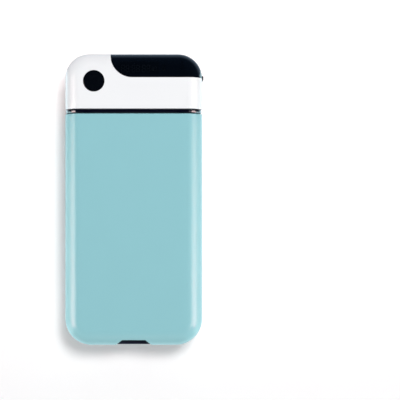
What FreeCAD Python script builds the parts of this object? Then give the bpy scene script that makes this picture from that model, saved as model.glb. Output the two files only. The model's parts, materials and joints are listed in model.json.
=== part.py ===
import FreeCAD, Part
import math
import os

# Timed lock container for pocket goods. A coloured sleeve slides off an inner tray; the head at the
# tray's end holds the timer, and its motor-driven bolt holds the sleeve's strike plate until time is up.
# The case lies on its back: +Z leaves the front face, +Y points to the head end, +X is to the right.
# Origin: centre of the back face. Unit: mm.

Vec = FreeCAD.Vector
os.makedirs("parts", exist_ok=True)

# ---------------------------------------------------------------- driving dimensions
LENGTH = 133.9            # whole case, head end to foot end
WIDTH = 63.0
THICK = 30.0
EDGE_R = 7.0              # long soft edges of front and back
HEAD_CORNER_R = 11.1      # plan corners at the head end
FOOT_CORNER_R = 12.0      # plan corners at the foot end
HEAD_LENGTH = 25.5        # white head, free end to collar band
BAND_LENGTH = 2.1         # dark band that shows between head and sleeve
BAND_INSET = 0.3          # band surface below the case surface
BAND_CROWN_R = 0.85       # the band is crowned across its width
SEAM_GAP = 0.1            # sleeve mouth to band when shut
RIM_R = 0.35              # small round on rims at the seam

# sleeve, tray and their stops
SLEEVE_WALL = 1.7
SLIDE_GAP = 0.25          # sleeve to tray, all round
TRAY_WALL = 1.3
TRAY_END_WALL = 2.0       # wall between goods and head
HOLLOW_EDGE_R = 2.5       # floor edges inside the tray: tighter than outside, so square goods lie flat
PLUG_LENGTH = 2.0         # part of the collar inside the sleeve mouth
MOUTH_LAND = 2.7          # sleeve wall left whole between the stop grooves and the mouth
STOP_DROP = 13.95         # foot end to the stop lugs on the tray arms
STOP_LENGTH = 3.0
STOP_WIDTH = 5.0
STOP_PROUD = 0.75
GROOVE_DEPTH = 0.8
GROOVE_GAP = 0.3
ARM_LENGTH = 16.0         # springy arm that carries each stop lug
ARM_SLIT = 0.8
ARM_MARGIN = 0.6          # arm's edge to its lug
LUG_RAMP = 1.5

# opening and finger notch at the foot
END_LAND = 0.5            # foot corner to the end opening
END_INSET = 7.5           # front and back faces to the end opening
END_CORNER_R = 3.0
END_GAP = 0.3             # tray boss to that opening
END_RECESS = 0.1          # tray boss below the foot edge
NOTCH_TOP_HALF = 5.3      # finger notch: narrow end
NOTCH_FOOT_HALF = 8.4     # finger notch: wide end
NOTCH_DEPTH = 2.75

# head covers and window
HEAD_WALL = 1.8
PARTING_LIP = 1.0         # lip height where the head covers meet
LIP_OUT = 0.8             # lip surface below the case surface
LIP_GAP = 0.05
LIP_START = 1.5           # lip begins this far from the collar
WINDOW_THICK = 1.0
WINDOW_GAP = 0.08
WINDOW_TO_BUTTON = 7.7    # button axis to the window's left edge
WINDOW_DROP = 11.15       # head end to the window's lower edge
WINDOW_CORNER_R = 9.75
WINDOW_TO_PARTING = 1.5   # the window wraps down the side to here above the parting line
COVER_GAP = 0.3           # bosses and cut-outs to the pieces beside them

# front button and side key
BUTTON_INSET = 13.3       # left side to the button axis
BUTTON_DROP = 12.85       # head end to the button axis
BUTTON_CAP_R = 4.8
BUTTON_GAP = 0.12
BUTTON_LEDGE = 0.8        # flange beyond the cap
BUTTON_FLANGE_THICK = 1.2
BUTTON_STEM_R = 2.4
BUTTON_PROUD = 0.15
BUTTON_TRAVEL = 0.5
KEY_DROP = 10.87          # head end to the side key's centre
KEY_TO_PARTING = 4.5
KEY_WIDTH = 2.3
KEY_LENGTH = 5.0
KEY_GAP = 0.12
KEY_PROUD = 0.75
KEY_LEDGE = 0.7           # flange beyond the key, and its thickness
KEY_TRAVEL = 0.4
SWITCH_HALF = 3.0         # tact switch under the button
PLUNGER_R = 1.7
SIDE_SWITCH_HALF = 2.0
SIDE_SWITCH_DEPTH = 3.2
SIDE_PLUNGER_R = 0.9
PLUNGER_GAP = 0.05
SWITCH_FLOOR = 1.3        # switch body left under its plunger hole

# boards and their screws
BOARD_THICK = 1.0
FRONT_BOARD_TO_KEY = 2.0
FRONT_BOARD_INSET = 3.4
MAIN_BOARD_INSET = 2.6
SMALL_SCREW_R = 0.7
SMALL_SCREW_LENGTH = 4.0
SMALL_HEAD_R = 1.4
SMALL_HEAD_H = 1.1
FRONT_BOSS_R = 1.7
REAR_BOSS_R = 1.8

# case screws, reached from inside the open tray only
CASE_SCREW_INSET = 5.5    # sides to the screw axes
CASE_SCREW_DEPTH = 6.5    # front and back faces to the screw axes
SCREW_R = 1.0
SCREW_GAP = 0.1
SCREW_LENGTH = 10.0
HEAD_R = 1.9
HEAD_H = 1.2
CASE_BOSS_R = 2.4
CASE_BOSS_LENGTH = 6.5
RIB = 1.2

# display and lights
DISPLAY_MARGIN = 4.0      # window's left edge to the display
DISPLAY_DROP = 3.95       # head end to the display
DISPLAY_SINK = 1.8        # cover's inner face to the display
DISPLAY_RIM = 0.4
DIGIT_W = 1.6
DIGIT_SPACE = 0.45
COLON_SPACE = 0.7
STROKE = 0.3
SEG_THICK = 0.1
LIGHT_SPACE = 2.3         # display to the lights' axes
LIGHT_DROPS = (8.05, 5.95)
PIPE_R = 0.7

# charging socket
SOCKET_DROP = 8.55        # collar to the socket's centre
SOCKET_WIDTH = 8.94
SOCKET_HEIGHT = 3.16
SOCKET_DEPTH = 7.35
SOCKET_WALL = 0.3
SOCKET_GAP = 0.15
SOCKET_SINK = 0.3

# lock
STRIKE_HALF = 5.0
STRIKE_THICK = 1.0
STRIKE_REACH = 11.25      # strike plate beyond the sleeve mouth
STRIKE_LENGTH = 28.5
SLOT_GAP = 0.25
STAKE_R = 1.2
BOLT_THROW = 4.0
BOLT_OFFSET = 3.85        # collar to the bolt's centre line
BOLT_WIDTH = 2.6
BOLT_THICK = 2.5
BOLT_SINK = 0.2           # bolt below the strike plate's front face
BOLT_GAP = 0.2            # bolt to strike notch
NOSE_GAP = 0.6            # drawn bolt to the strike plate's edge
TAIL_INSET = 7.5          # right side to the bolt's tail
RAIL_GAP = 0.05
PRESSURE_ANGLE = math.radians(20.0)
RACK_MODULE = 0.5
RACK_PINION_TEETH = 12
RACK_PINION_SHIFT = 0.3
WHEEL_MODULE = 0.4
WHEEL_TEETH = 24
MOTOR_PINION_TEETH = 10
WHEEL_SHIFT = 0.4
BACKLASH = 0.08
GEAR_INSET = 7.0          # bolt's tail to the gear axle
AXLE_R = 0.75
AXLE_GAP = 0.04
MOTOR_R = 3.0
MOTOR_GAP = 0.5           # main board to the motor
SHAFT_R = 0.4
NECK_R = 1.0              # motor's front bearing
BASE_THICK = 1.5
BASE_DROP = 2.6           # bolt to the lock base's plate
MOTOR_BOSS = 1.2
WHEEL_GAP = 0.6           # base plate to the reduction wheel
WHEEL_TOP_GAP = 0.4       # reduction wheel to the bolt's rack
BASE_SCREW_R = 0.8
BASE_HEAD_R = 1.5
BASE_SCREW_LENGTH = 4.0
BASE_FOOT = 1.2
CLOSURE_GAP = 4.0         # strike plate to the closure switch

# battery, buzzer, chips and board link
CELL_INSET = 9.5          # left side to the cell
CELL_THICK = 5.6
CELL_DROP = 4.35          # head end to the cell
CELL_OFFSET = 2.15        # collar to the cell
CELL_R = 1.2
PAD_THICK = 0.7
PAD_INSET = 2.6
BUZZER_INSET = 12.5       # right side to the buzzer's axis
BUZZER_DROP = 9.45
BUZZER_R = 4.4
BUZZER_H = 3.4
BUZZER_GAP = 7.6          # buzzer to the cell
LEAD_R = 0.45
PLUG_GAP = 4.0            # cell to the connector
PLUG_SIZE = 4.4
CONTROLLER_X = -9.0
CONTROLLER_SIZE = 7.0
LEAD_PITCH = 0.8
CHIP_OFFSET = 5.55        # collar to the row of chips beside it
PIN = 0.5
PIN_PITCH = 2.0
PINS = 6
LINK_EDGE = 1.55          # main board's edge to the link's pins
LINK_WIDTH = 2.4
LINK_HEIGHT = 2.5

# ---------------------------------------------------------------- derived
X_SIDE = WIDTH / 2
Y_TOP = LENGTH / 2
Y_FOOT = -LENGTH / 2
Y_HEAD = Y_TOP - HEAD_LENGTH
Y_BAND = Y_HEAD - BAND_LENGTH
Y_MOUTH = Y_BAND - SEAM_GAP
Y_TRAY_TOP = Y_BAND - PLUG_LENGTH
Y_CAVITY_TOP = Y_TRAY_TOP - TRAY_END_WALL
MID_Z = THICK / 2
TRAY_INSET = SLEEVE_WALL + SLIDE_GAP
TRAY_INNER = TRAY_INSET + TRAY_WALL
TRAY_RIM_Z = THICK - END_INSET - END_GAP
FRONT_INNER_Z = THICK - HEAD_WALL
END_HALF = X_SIDE - FOOT_CORNER_R - END_LAND

BUTTON_X = BUTTON_INSET - X_SIDE
BUTTON_Y = Y_TOP - BUTTON_DROP
WINDOW_LEFT = BUTTON_X + WINDOW_TO_BUTTON
WINDOW_FOOT = Y_TOP - WINDOW_DROP
WINDOW_Z_LOW = MID_Z + WINDOW_TO_PARTING
KEY_Y = Y_TOP - KEY_DROP
KEY_Z = MID_Z + KEY_TO_PARTING
FRONT_BOARD_Z = KEY_Z + FRONT_BOARD_TO_KEY
MAIN_BOARD_Z = MID_Z - SOCKET_HEIGHT / 2 - BOARD_THICK
board_top = FRONT_BOARD_Z + BOARD_THICK
main_top = MAIN_BOARD_Z + BOARD_THICK

strike_z1 = THICK - SLEEVE_WALL
strike_z0 = strike_z1 - STRIKE_THICK
STRIKE_HIGH = Y_MOUTH + STRIKE_REACH
STRIKE_LOW = STRIKE_HIGH - STRIKE_LENGTH
BOLT_Y = Y_HEAD + BOLT_OFFSET
BOLT_Z_HIGH = strike_z1 - BOLT_SINK
BOLT_Z_LOW = BOLT_Z_HIGH - BOLT_THICK
BOLT_NOSE_X = STRIKE_HALF + NOSE_GAP
BOLT_TAIL_X = X_SIDE - TAIL_INSET
bolt_low = BOLT_Y - BOLT_WIDTH / 2
bolt_high = BOLT_Y + BOLT_WIDTH / 2
GEAR_X = BOLT_TAIL_X - GEAR_INSET
GEAR_Y = bolt_high + RACK_MODULE * (1.25 + RACK_PINION_SHIFT + RACK_PINION_TEETH / 2)
MOTOR_X = GEAR_X - WHEEL_MODULE * (WHEEL_TEETH + MOTOR_PINION_TEETH) / 2
BASE_Z1 = BOLT_Z_LOW - BASE_DROP
BASE_Z0 = BASE_Z1 - BASE_THICK
base_front = GEAR_Y + MOTOR_R + MOTOR_BOSS + 0.4
board_foot = base_front + 1.0

DISPLAY_X0 = WINDOW_LEFT + DISPLAY_MARGIN
DISPLAY_X1 = DISPLAY_X0 + 6 * (DIGIT_W + DIGIT_SPACE) + 2 * COLON_SPACE + 4.3
DISPLAY_Y0 = board_foot + 1.2
DISPLAY_Y1 = Y_TOP - DISPLAY_DROP
DISPLAY_TOP = FRONT_INNER_Z - DISPLAY_SINK
LIGHT_X = DISPLAY_X1 + LIGHT_SPACE
BUZZER_X = X_SIDE - BUZZER_INSET
BUZZER_Y = Y_TOP - BUZZER_DROP
closure_x = -STRIKE_HALF - CLOSURE_GAP
closure_y = Y_HEAD + 3.8


# ---------------------------------------------------------------- helpers
def box(x0, x1, y0, y1, z0, z1):
    return Part.makeBox(x1 - x0, y1 - y0, z1 - z0, Vec(x0, y0, z0))


def rod(x, y, z0, z1, r):
    return Part.makeCylinder(r, z1 - z0, Vec(x, y, z0))


def rod_y(x, z, y0, y1, r):
    return Part.makeCylinder(r, y1 - y0, Vec(x, y0, z), Vec(0, 1, 0))


def rod_x(y, z, x0, x1, r):
    return Part.makeCylinder(r, x1 - x0, Vec(x0, y, z), Vec(1, 0, 0))


def prism(points, z0, z1):
    corners = [Vec(x, y, z0) for x, y in points]
    face = Part.Face(Part.makePolygon(corners + corners[:1]))
    return face.extrude(Vec(0, 0, z1 - z0))


def plan_face(inset, y_low, y_high, low_r, high_r):
    """Plan outline of the case at an inset; a corner radius of 0 leaves that end square."""
    half = WIDTH / 2 - inset
    edges = []
    ends = []
    for sx, sy in ((-1, -1), (1, -1), (1, 1), (-1, 1)):
        r = low_r if sy < 0 else high_r
        x = half * sx
        y = y_low if sy < 0 else y_high
        on_side = Vec(x, y - r * sy, 0)
        on_end = Vec(x - r * sx, y, 0)
        first, last = (on_side, on_end) if sx == sy else (on_end, on_side)
        if r > 0:
            rise = r * (1 - 1 / math.sqrt(2))
            edges.append(Part.Arc(first, Vec(x - rise * sx, y - rise * sy, 0), last).toShape())
        ends.append((first, last))
    for k in range(4):
        edges.append(Part.makeLine(ends[k][1], ends[(k + 1) % 4][0]))
    return Part.Face(Part.Wire(Part.__sortEdges__(edges)))


def case_block(inset, y_low, y_high, low_r, high_r, edge_r=None):
    """Case-shaped block at an inset, with the long soft edges; a square end stays sharp."""
    face = plan_face(inset, y_low, y_high, low_r, high_r)
    face.translate(Vec(0, 0, inset))
    block = face.extrude(Vec(0, 0, THICK - 2 * inset))
    edges = []
    for edge in block.Edges:
        bb = edge.BoundBox
        if bb.ZLength > 1e-6:
            continue
        flat_low = low_r == 0 and abs(bb.YMax - y_low) < 1e-6
        flat_high = high_r == 0 and abs(bb.YMin - y_high) < 1e-6
        if not flat_low and not flat_high:
            edges.append(edge)
    return block.makeFillet(edge_r or EDGE_R - inset, edges)


def foot_block(inset, y_high, edge_r=None):
    return case_block(inset, Y_FOOT + inset, y_high, FOOT_CORNER_R - inset, 0, edge_r)


def head_block(inset, y_low):
    return case_block(inset, y_low, Y_TOP - inset, 0, HEAD_CORNER_R - inset)


def soften_rim(shape, y, radius):
    """Rounds the outermost edges that lie in the plane at y."""
    edges = []
    for edge in shape.Edges:
        bb = edge.BoundBox
        if bb.YLength < 1e-6 and abs(bb.YMin - y) < 1e-6 and on_case(edge):
            edges.append(edge)
    return shape.makeFillet(radius, edges)


def on_case(edge):
    """True for an edge that lies on the outermost cross-section of the case."""
    mid = edge.valueAt((edge.FirstParameter + edge.LastParameter) / 2)
    flat_x = WIDTH / 2 - EDGE_R
    flat_z = MID_Z - EDGE_R
    dx = abs(mid.x) - flat_x
    dz = abs(mid.z - MID_Z) - flat_z
    reach = math.hypot(max(dx, 0), max(dz, 0))
    return abs(reach - EDGE_R) < 0.01


def stadium_x(x0, x1, y, z, size_y, size_z):
    """Prism along X with a stadium section."""
    r = min(size_y, size_z) / 2
    dy = size_y / 2 - r
    dz = size_z / 2 - r
    if dz > 0:
        body = box(x0, x1, y - r, y + r, z - dz, z + dz)
    else:
        body = box(x0, x1, y - dy, y + dy, z - r, z + r)
    for end in (-1, 1):
        cap = Part.makeCylinder(r, x1 - x0, Vec(x0, y + end * dy, z + end * dz), Vec(1, 0, 0))
        body = body.fuse(cap)
    return body.removeSplitter()


def involute(angle):
    return math.tan(angle) - angle


def gear(module, teeth, shift, addendum, first_angle, x, y, z0, z1, bore_r):
    """Spur gear with involute flanks; one tooth is centred on first_angle (radians)."""
    pitch_r = module * teeth / 2
    base_r = pitch_r * math.cos(PRESSURE_ANGLE)
    tip_r = pitch_r + module * (addendum + shift)
    root_r = pitch_r - module * (1.25 - shift)
    thick = module * (math.pi / 2 + 2 * shift * math.tan(PRESSURE_ANGLE)) - BACKLASH
    half_pitch = thick / (2 * pitch_r) + involute(PRESSURE_ANGLE)
    start_r = max(base_r, root_r) + 0.001
    radii = [start_r + (tip_r - start_r) * k / 4 for k in range(5)]

    def half_angle(r):
        return half_pitch - involute(math.acos(base_r / r))

    points = []
    for tooth in range(teeth):
        centre = first_angle + 2 * math.pi * tooth / teeth
        flank = [(r, half_angle(r)) for r in radii]
        root = [(root_r, half_angle(start_r))] if root_r < base_r else []
        rising = [(r, centre - a) for r, a in root + flank]
        falling = [(r, centre + a) for r, a in (root + flank)[::-1]]
        for r, a in rising + falling:
            points.append((x + r * math.cos(a), y + r * math.sin(a)))
    body = prism(points, z0, z1)
    if bore_r:
        body = body.cut(rod(x, y, z0 - 1, z1 + 1, bore_r))
    return body


def screw(x, y, z, direction, r, length, head_r, head_h):
    """Pan-head screw with a cross recess; the head's underside is at the given point."""
    shank = Part.makeCylinder(r, length, Vec(0, 0, 0), Vec(0, 0, 1))
    head = Part.makeCylinder(head_r, head_h, Vec(0, 0, -head_h), Vec(0, 0, 1))
    body = shank.fuse(head)
    arm = head_r * 0.62
    slot = head_r * 0.16
    for dx, dy in ((arm, slot), (slot, arm)):
        body = body.cut(box(-dx, dx, -dy, dy, -head_h - 1, -head_h * 0.45))
    turn = FreeCAD.Rotation(Vec(0, 0, 1), direction)
    body.Placement = FreeCAD.Placement(Vec(x, y, z), turn)
    return body


def save(name, *solids):
    """Writes one node: a single solid, or a group of separate solids."""
    shape = solids[0] if len(solids) == 1 else Part.makeCompound(list(solids))
    shape.exportStep("parts/" + name + ".step")


# ---------------------------------------------------------------- sleeve
outer = foot_block(0, Y_MOUTH)
outer = soften_rim(outer, Y_MOUTH, RIM_R)
sleeve = outer.cut(foot_block(SLEEVE_WALL, Y_MOUTH + 5))

end_open = box(-END_HALF, END_HALF, Y_FOOT - 1, Y_FOOT + SLEEVE_WALL + 2, END_INSET, THICK - END_INSET)
end_edges = [e for e in end_open.Edges if e.BoundBox.YLength > 1]
sleeve = sleeve.cut(end_open.makeFillet(END_CORNER_R, end_edges))
notch_slope = (NOTCH_FOOT_HALF - NOTCH_TOP_HALF) / NOTCH_DEPTH
notch_wide = NOTCH_FOOT_HALF + notch_slope
notch_top = Y_FOOT + NOTCH_DEPTH
notch = prism([(-notch_wide, Y_FOOT - 1), (notch_wide, Y_FOOT - 1),
               (NOTCH_TOP_HALF, notch_top), (-NOTCH_TOP_HALF, notch_top)], MID_Z, THICK + 1)
sleeve = sleeve.cut(notch)

stop_low = Y_FOOT + STOP_DROP - STOP_LENGTH / 2
stop_high = stop_low + STOP_LENGTH
groove_half = STOP_WIDTH / 2 + GROOVE_GAP
groove_x = X_SIDE - SLEEVE_WALL
groove_top = Y_MOUTH - MOUTH_LAND
for side in (-1, 1):
    x0, x1 = sorted((side * (groove_x - 1), side * (groove_x + GROOVE_DEPTH)))
    groove = box(x0, x1, stop_low - 0.5, groove_top, MID_Z - groove_half, MID_Z + groove_half)
    sleeve = sleeve.cut(groove)

# Strike plate: held by two flush heat stakes under the sleeve's front wall.
strike = box(-STRIKE_HALF, STRIKE_HALF, STRIKE_LOW, STRIKE_HIGH, strike_z0, strike_z1)
strike_edges = [e for e in strike.Edges if e.BoundBox.ZLength > 0.5]
strike = strike.makeFillet(1.6, strike_edges)
notch_floor = BOLT_NOSE_X - BOLT_THROW - 0.4
notch_low = BOLT_Y - BOLT_WIDTH / 2 - BOLT_GAP
notch_high = BOLT_Y + BOLT_WIDTH / 2 + BOLT_GAP
strike = strike.cut(box(notch_floor, STRIKE_HALF + 1, notch_low, notch_high, strike_z0 - 1, strike_z1 + 1))
stakes = []
for y in (STRIKE_LOW + 3.5, STRIKE_LOW + 9.5):
    shaft = rod(0, y, strike_z0, strike_z1 + 0.4, STAKE_R)
    cone = Part.makeCone(STAKE_R + 0.6, STAKE_R, 0.6, Vec(0, y, strike_z0))
    stake = shaft.fuse(cone)
    strike = strike.cut(stake)
    stakes.append(stake)
for stake in stakes:
    sleeve = sleeve.fuse(stake)
save("sleeve", sleeve.removeSplitter())
save("strike_plate", strike)

# ---------------------------------------------------------------- tray
tray = foot_block(TRAY_INSET, Y_TRAY_TOP)
hollow = foot_block(TRAY_INNER, Y_CAVITY_TOP, HOLLOW_EDGE_R)
tray = tray.cut(hollow)
tray = tray.cut(box(-WIDTH, WIDTH, Y_FOOT - 5, Y_CAVITY_TOP, TRAY_RIM_Z, THICK + 5))
boss = box(-END_HALF + END_GAP, END_HALF - END_GAP, Y_FOOT + END_RECESS, Y_FOOT + TRAY_INNER,
           END_INSET + END_GAP, TRAY_RIM_Z)
boss_edges = [e for e in boss.Edges if e.BoundBox.YLength > 1]
boss = boss.makeFillet(END_CORNER_R - END_GAP, boss_edges)
boss_rim = [e for e in boss.Edges if e.BoundBox.YMax < Y_FOOT + END_RECESS + 1e-6]
boss = boss.makeFillet(0.4, boss_rim)
tray = tray.fuse(boss).removeSplitter()

for side in (-1, 1):
    wall_x = side * (X_SIDE - TRAY_INSET)
    tip_x = wall_x + side * STOP_PROUD
    root_x = wall_x - side * TRAY_WALL * 0.6
    lug = prism([(root_x, stop_low), (wall_x, stop_low), (tip_x, stop_low + LUG_RAMP),
                 (tip_x, stop_high), (root_x, stop_high)],
                MID_Z - STOP_WIDTH / 2, MID_Z + STOP_WIDTH / 2)
    tray = tray.fuse(lug)
    x0, x1 = sorted((wall_x - side * 2, wall_x + side * 2))
    slit_z = STOP_WIDTH / 2 + ARM_MARGIN
    arm_end = stop_low - 2 * ARM_MARGIN
    for end in (-1, 1):
        z0, z1 = sorted((MID_Z + end * slit_z, MID_Z + end * (slit_z + ARM_SLIT)))
        tray = tray.cut(box(x0, x1, arm_end - ARM_SLIT, arm_end + ARM_LENGTH, z0, z1))
    tray = tray.cut(box(x0, x1, arm_end - ARM_SLIT, arm_end, MID_Z - slit_z - ARM_SLIT,
                        MID_Z + slit_z + ARM_SLIT))

slot_half = STRIKE_HALF + SLOT_GAP
strike_slot = box(-slot_half, slot_half, Y_CAVITY_TOP - 1, Y_HEAD + 1, strike_z0 - 0.2, strike_z1 + 0.3)
tray = tray.cut(strike_slot)

# Case screws: heads sink in the wall above the goods, shanks end in the head covers' bosses.
screw_seat = Y_CAVITY_TOP + HEAD_H
case_screws = []
screw_x = X_SIDE - CASE_SCREW_INSET
screw_axes = [(x, z) for x in (-screw_x, screw_x) for z in (CASE_SCREW_DEPTH, THICK - CASE_SCREW_DEPTH)]
for x, z in screw_axes:
    tray = tray.cut(rod_y(x, z, Y_CAVITY_TOP - 1, screw_seat, HEAD_R + 0.2))
    tray = tray.cut(rod_y(x, z, screw_seat - 0.1, Y_TRAY_TOP + 1, SCREW_R + SCREW_GAP))
    case_screws.append(screw(x, screw_seat, z, Vec(0, 1, 0), SCREW_R, SCREW_LENGTH, HEAD_R, HEAD_H))
save("tray", tray.removeSplitter())
save("case_screws", *case_screws)

# ---------------------------------------------------------------- collar
plug = foot_block(TRAY_INSET, Y_BAND + 1).common(box(-WIDTH, WIDTH, Y_TRAY_TOP, Y_BAND + 0.5, -1, THICK + 1))
band = foot_block(BAND_INSET, Y_HEAD).common(box(-WIDTH, WIDTH, Y_BAND, Y_HEAD, -1, THICK + 1))
band = band.makeFillet(BAND_CROWN_R, [e for e in band.Edges if e.BoundBox.YLength < 1e-6])
collar = plug.fuse(band).removeSplitter()
collar = collar.cut(strike_slot)
for x, z in screw_axes:
    collar = collar.cut(rod_y(x, z, Y_TRAY_TOP - 1, Y_HEAD + 1, SCREW_R + SCREW_GAP))
base_seat = Y_HEAD + BASE_FOOT
base_x0 = BOLT_NOSE_X - 0.6
base_x1 = BOLT_TAIL_X - 0.8
base_screw_z = (main_top + BASE_Z0) / 2
base_screw_x = (base_x0 + 3.0, base_x1 - 3.2)
for x in base_screw_x:
    collar = collar.cut(rod_y(x, base_screw_z, base_seat - BASE_SCREW_LENGTH, Y_HEAD + 1, BASE_SCREW_R))
save("collar", collar)

# ---------------------------------------------------------------- head covers
shell_outer = soften_rim(head_block(0, Y_HEAD), Y_HEAD, RIM_R)
shell_inner = head_block(HEAD_WALL, Y_HEAD - 5)
shell = shell_outer.cut(shell_inner)
boss_clip = head_block(WINDOW_THICK + COVER_GAP, Y_HEAD)
upper = box(-WIDTH, WIDTH, Y_HEAD - 1, Y_TOP + 1, MID_Z, THICK + 1)
lower = box(-WIDTH, WIDTH, Y_HEAD - 1, Y_TOP + 1, -1, MID_Z)
lip_zone = box(-WIDTH, WIDTH, Y_HEAD + LIP_START, Y_TOP + 1, MID_Z - 0.5, MID_Z + PARTING_LIP)
lip = head_block(LIP_OUT, Y_HEAD).cut(head_block(HEAD_WALL, Y_HEAD - 5)).common(lip_zone)
lip_room = head_block(LIP_OUT - LIP_GAP, Y_HEAD - 5).cut(head_block(HEAD_WALL + 1, Y_HEAD - 8))
lip_room = lip_room.common(box(-WIDTH, WIDTH, Y_HEAD + LIP_START - LIP_GAP, Y_TOP + 1, MID_Z - 1,
                               MID_Z + PARTING_LIP + LIP_GAP))
front = shell.common(upper).cut(lip_room)
rear = shell.common(lower).fuse(lip).removeSplitter()

# bosses for the case screws
for x, z in screw_axes:
    x0, x1 = sorted((x, math.copysign(X_SIDE, x)))
    rib = box(x0, x1, Y_HEAD, Y_HEAD + CASE_BOSS_LENGTH, z - RIB / 2, z + RIB / 2)
    post = rod_y(x, z, Y_HEAD, Y_HEAD + CASE_BOSS_LENGTH, CASE_BOSS_R).fuse(rib).common(boss_clip)
    hole = rod_y(x, z, Y_HEAD - 1, Y_HEAD + CASE_BOSS_LENGTH - 0.5, SCREW_R)
    if z > MID_Z:
        front = front.fuse(post).cut(hole)
    else:
        rear = rear.fuse(post).cut(hole)

# front cover: relief for the strike plate, window recess, button hole, key slot, board bosses
relief_half = slot_half + COVER_GAP
front = front.cut(box(-relief_half, relief_half, Y_HEAD - 1, STRIKE_HIGH + 1, strike_z0, strike_z1 + COVER_GAP))


def window_zone(grow):
    """Upright prism over the window's area, with its round lower left corner."""
    x0 = WINDOW_LEFT - grow
    y0 = WINDOW_FOOT - grow
    zone = box(x0, WIDTH, y0, Y_TOP + 5, WINDOW_Z_LOW - grow, THICK + 1)
    corner = [e for e in zone.Edges if e.BoundBox.ZLength > 5 and e.BoundBox.XMax < x0 + 1e-6
              and e.BoundBox.YMax < y0 + 1e-6]
    return zone.makeFillet(WINDOW_CORNER_R + grow, corner)


skin = head_block(0, Y_HEAD).cut(head_block(WINDOW_THICK, Y_HEAD - 5))
deep_skin = head_block(0, Y_HEAD).cut(head_block(WINDOW_THICK + 0.05, Y_HEAD - 5))
window = skin.common(window_zone(0))
front = front.cut(deep_skin.common(window_zone(WINDOW_GAP)))

front = front.cut(rod(BUTTON_X, BUTTON_Y, FRONT_INNER_Z - 1, THICK + 1, BUTTON_CAP_R + BUTTON_GAP))
key_slot = stadium_x(X_SIDE - 6, X_SIDE + 3, KEY_Y, KEY_Z, KEY_WIDTH + 2 * KEY_GAP,
                     KEY_LENGTH + 2 * KEY_GAP)
front = front.cut(key_slot)
window = window.cut(key_slot)

front = front.cut(box(DISPLAY_X0 - COVER_GAP, LIGHT_X + PIPE_R + 0.9, DISPLAY_Y0 - COVER_GAP,
                      DISPLAY_Y1 + 0.4, board_top, THICK - WINDOW_THICK))

front_boss_x = X_SIDE - 6.5
front_boss_y = Y_TOP - 6.75
front_boss_at = [(BUTTON_X - 3.1, BUTTON_Y - 7.2), (-front_boss_x, front_boss_y), (front_boss_x, front_boss_y)]
for x, y in front_boss_at:
    post = rod(x, y, board_top, FRONT_INNER_Z + 0.4, FRONT_BOSS_R).common(boss_clip)
    front = front.fuse(post).cut(rod(x, y, board_top - 1, board_top + SMALL_SCREW_LENGTH - 0.8, SMALL_SCREW_R))
save("display_window", window)

# rear cover: board bosses, sound slots, charging socket mouth shared with the front cover
rear_boss_at = [(4.9 - X_SIDE, BUZZER_Y), (BUZZER_X - 8.0, Y_TOP - 4.75), (X_SIDE - 5.5, Y_HEAD + 10.55)]
for x, y in rear_boss_at:
    post = rod(x, y, HEAD_WALL - 0.4, MAIN_BOARD_Z, REAR_BOSS_R).common(boss_clip)
    hole = rod(x, y, MAIN_BOARD_Z - SMALL_SCREW_LENGTH - 0.5, MAIN_BOARD_Z + 1, SMALL_SCREW_R)
    rear = rear.fuse(post).cut(hole)
for k in (-1, 0, 1):
    y = BUZZER_Y + 1.9 * k
    rear = rear.cut(box(BUZZER_X - 2.6, BUZZER_X + 2.6, y - 0.45, y + 0.45, -1, HEAD_WALL + 1))

# charging socket: its mouth is cut through both covers at the parting line
SOCKET_Y = Y_HEAD + SOCKET_DROP
socket_x = -X_SIDE + SOCKET_SINK
socket_z = main_top + SOCKET_HEIGHT / 2
mouth = stadium_x(-X_SIDE - 1, -X_SIDE + 4, SOCKET_Y, socket_z, SOCKET_WIDTH + 2 * SOCKET_GAP,
                  SOCKET_HEIGHT + 2 * SOCKET_GAP)
front = front.cut(mouth).removeSplitter()
rear = rear.cut(mouth).removeSplitter()
save("head_front_cover", front)
save("head_rear_cover", rear)
socket = stadium_x(socket_x, socket_x + SOCKET_DEPTH, SOCKET_Y, socket_z, SOCKET_WIDTH, SOCKET_HEIGHT)
socket = socket.cut(stadium_x(socket_x - 1, socket_x + SOCKET_DEPTH - 0.6, SOCKET_Y, socket_z,
                              SOCKET_WIDTH - 2 * SOCKET_WALL, SOCKET_HEIGHT - 2 * SOCKET_WALL))
save("socket_shell", socket)
save("socket_tongue", box(socket_x + 0.7, socket_x + SOCKET_DEPTH - 0.6, SOCKET_Y - 3.35, SOCKET_Y + 3.35,
                          socket_z - 0.35, socket_z + 0.35))

# ---------------------------------------------------------------- front button
flange_top = FRONT_INNER_Z - 0.1
flange_low = flange_top - BUTTON_FLANGE_THICK
stem_low = flange_low - 0.4
cap = rod(BUTTON_X, BUTTON_Y, flange_top - 0.5, THICK + BUTTON_PROUD, BUTTON_CAP_R)
cap = cap.makeFillet(0.3, [e for e in cap.Edges if e.BoundBox.ZMin > THICK])
cap = cap.fuse(rod(BUTTON_X, BUTTON_Y, flange_low, flange_top, BUTTON_CAP_R + BUTTON_LEDGE))
cap = cap.fuse(rod(BUTTON_X, BUTTON_Y, stem_low, flange_top, BUTTON_STEM_R)).removeSplitter()
save("front_button_cap", cap)
switch_top = stem_low - BUTTON_TRAVEL
switch_floor = board_top + SWITCH_FLOOR
switch = box(BUTTON_X - SWITCH_HALF, BUTTON_X + SWITCH_HALF, BUTTON_Y - SWITCH_HALF, BUTTON_Y + SWITCH_HALF,
             board_top, switch_top)
switch = switch.cut(rod(BUTTON_X, BUTTON_Y, switch_floor, switch_top + 1, PLUNGER_R + PLUNGER_GAP))
save("front_switch_body", switch)
save("front_switch_plunger", rod(BUTTON_X, BUTTON_Y, switch_floor + BUTTON_TRAVEL + 0.2, stem_low, PLUNGER_R))

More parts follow.
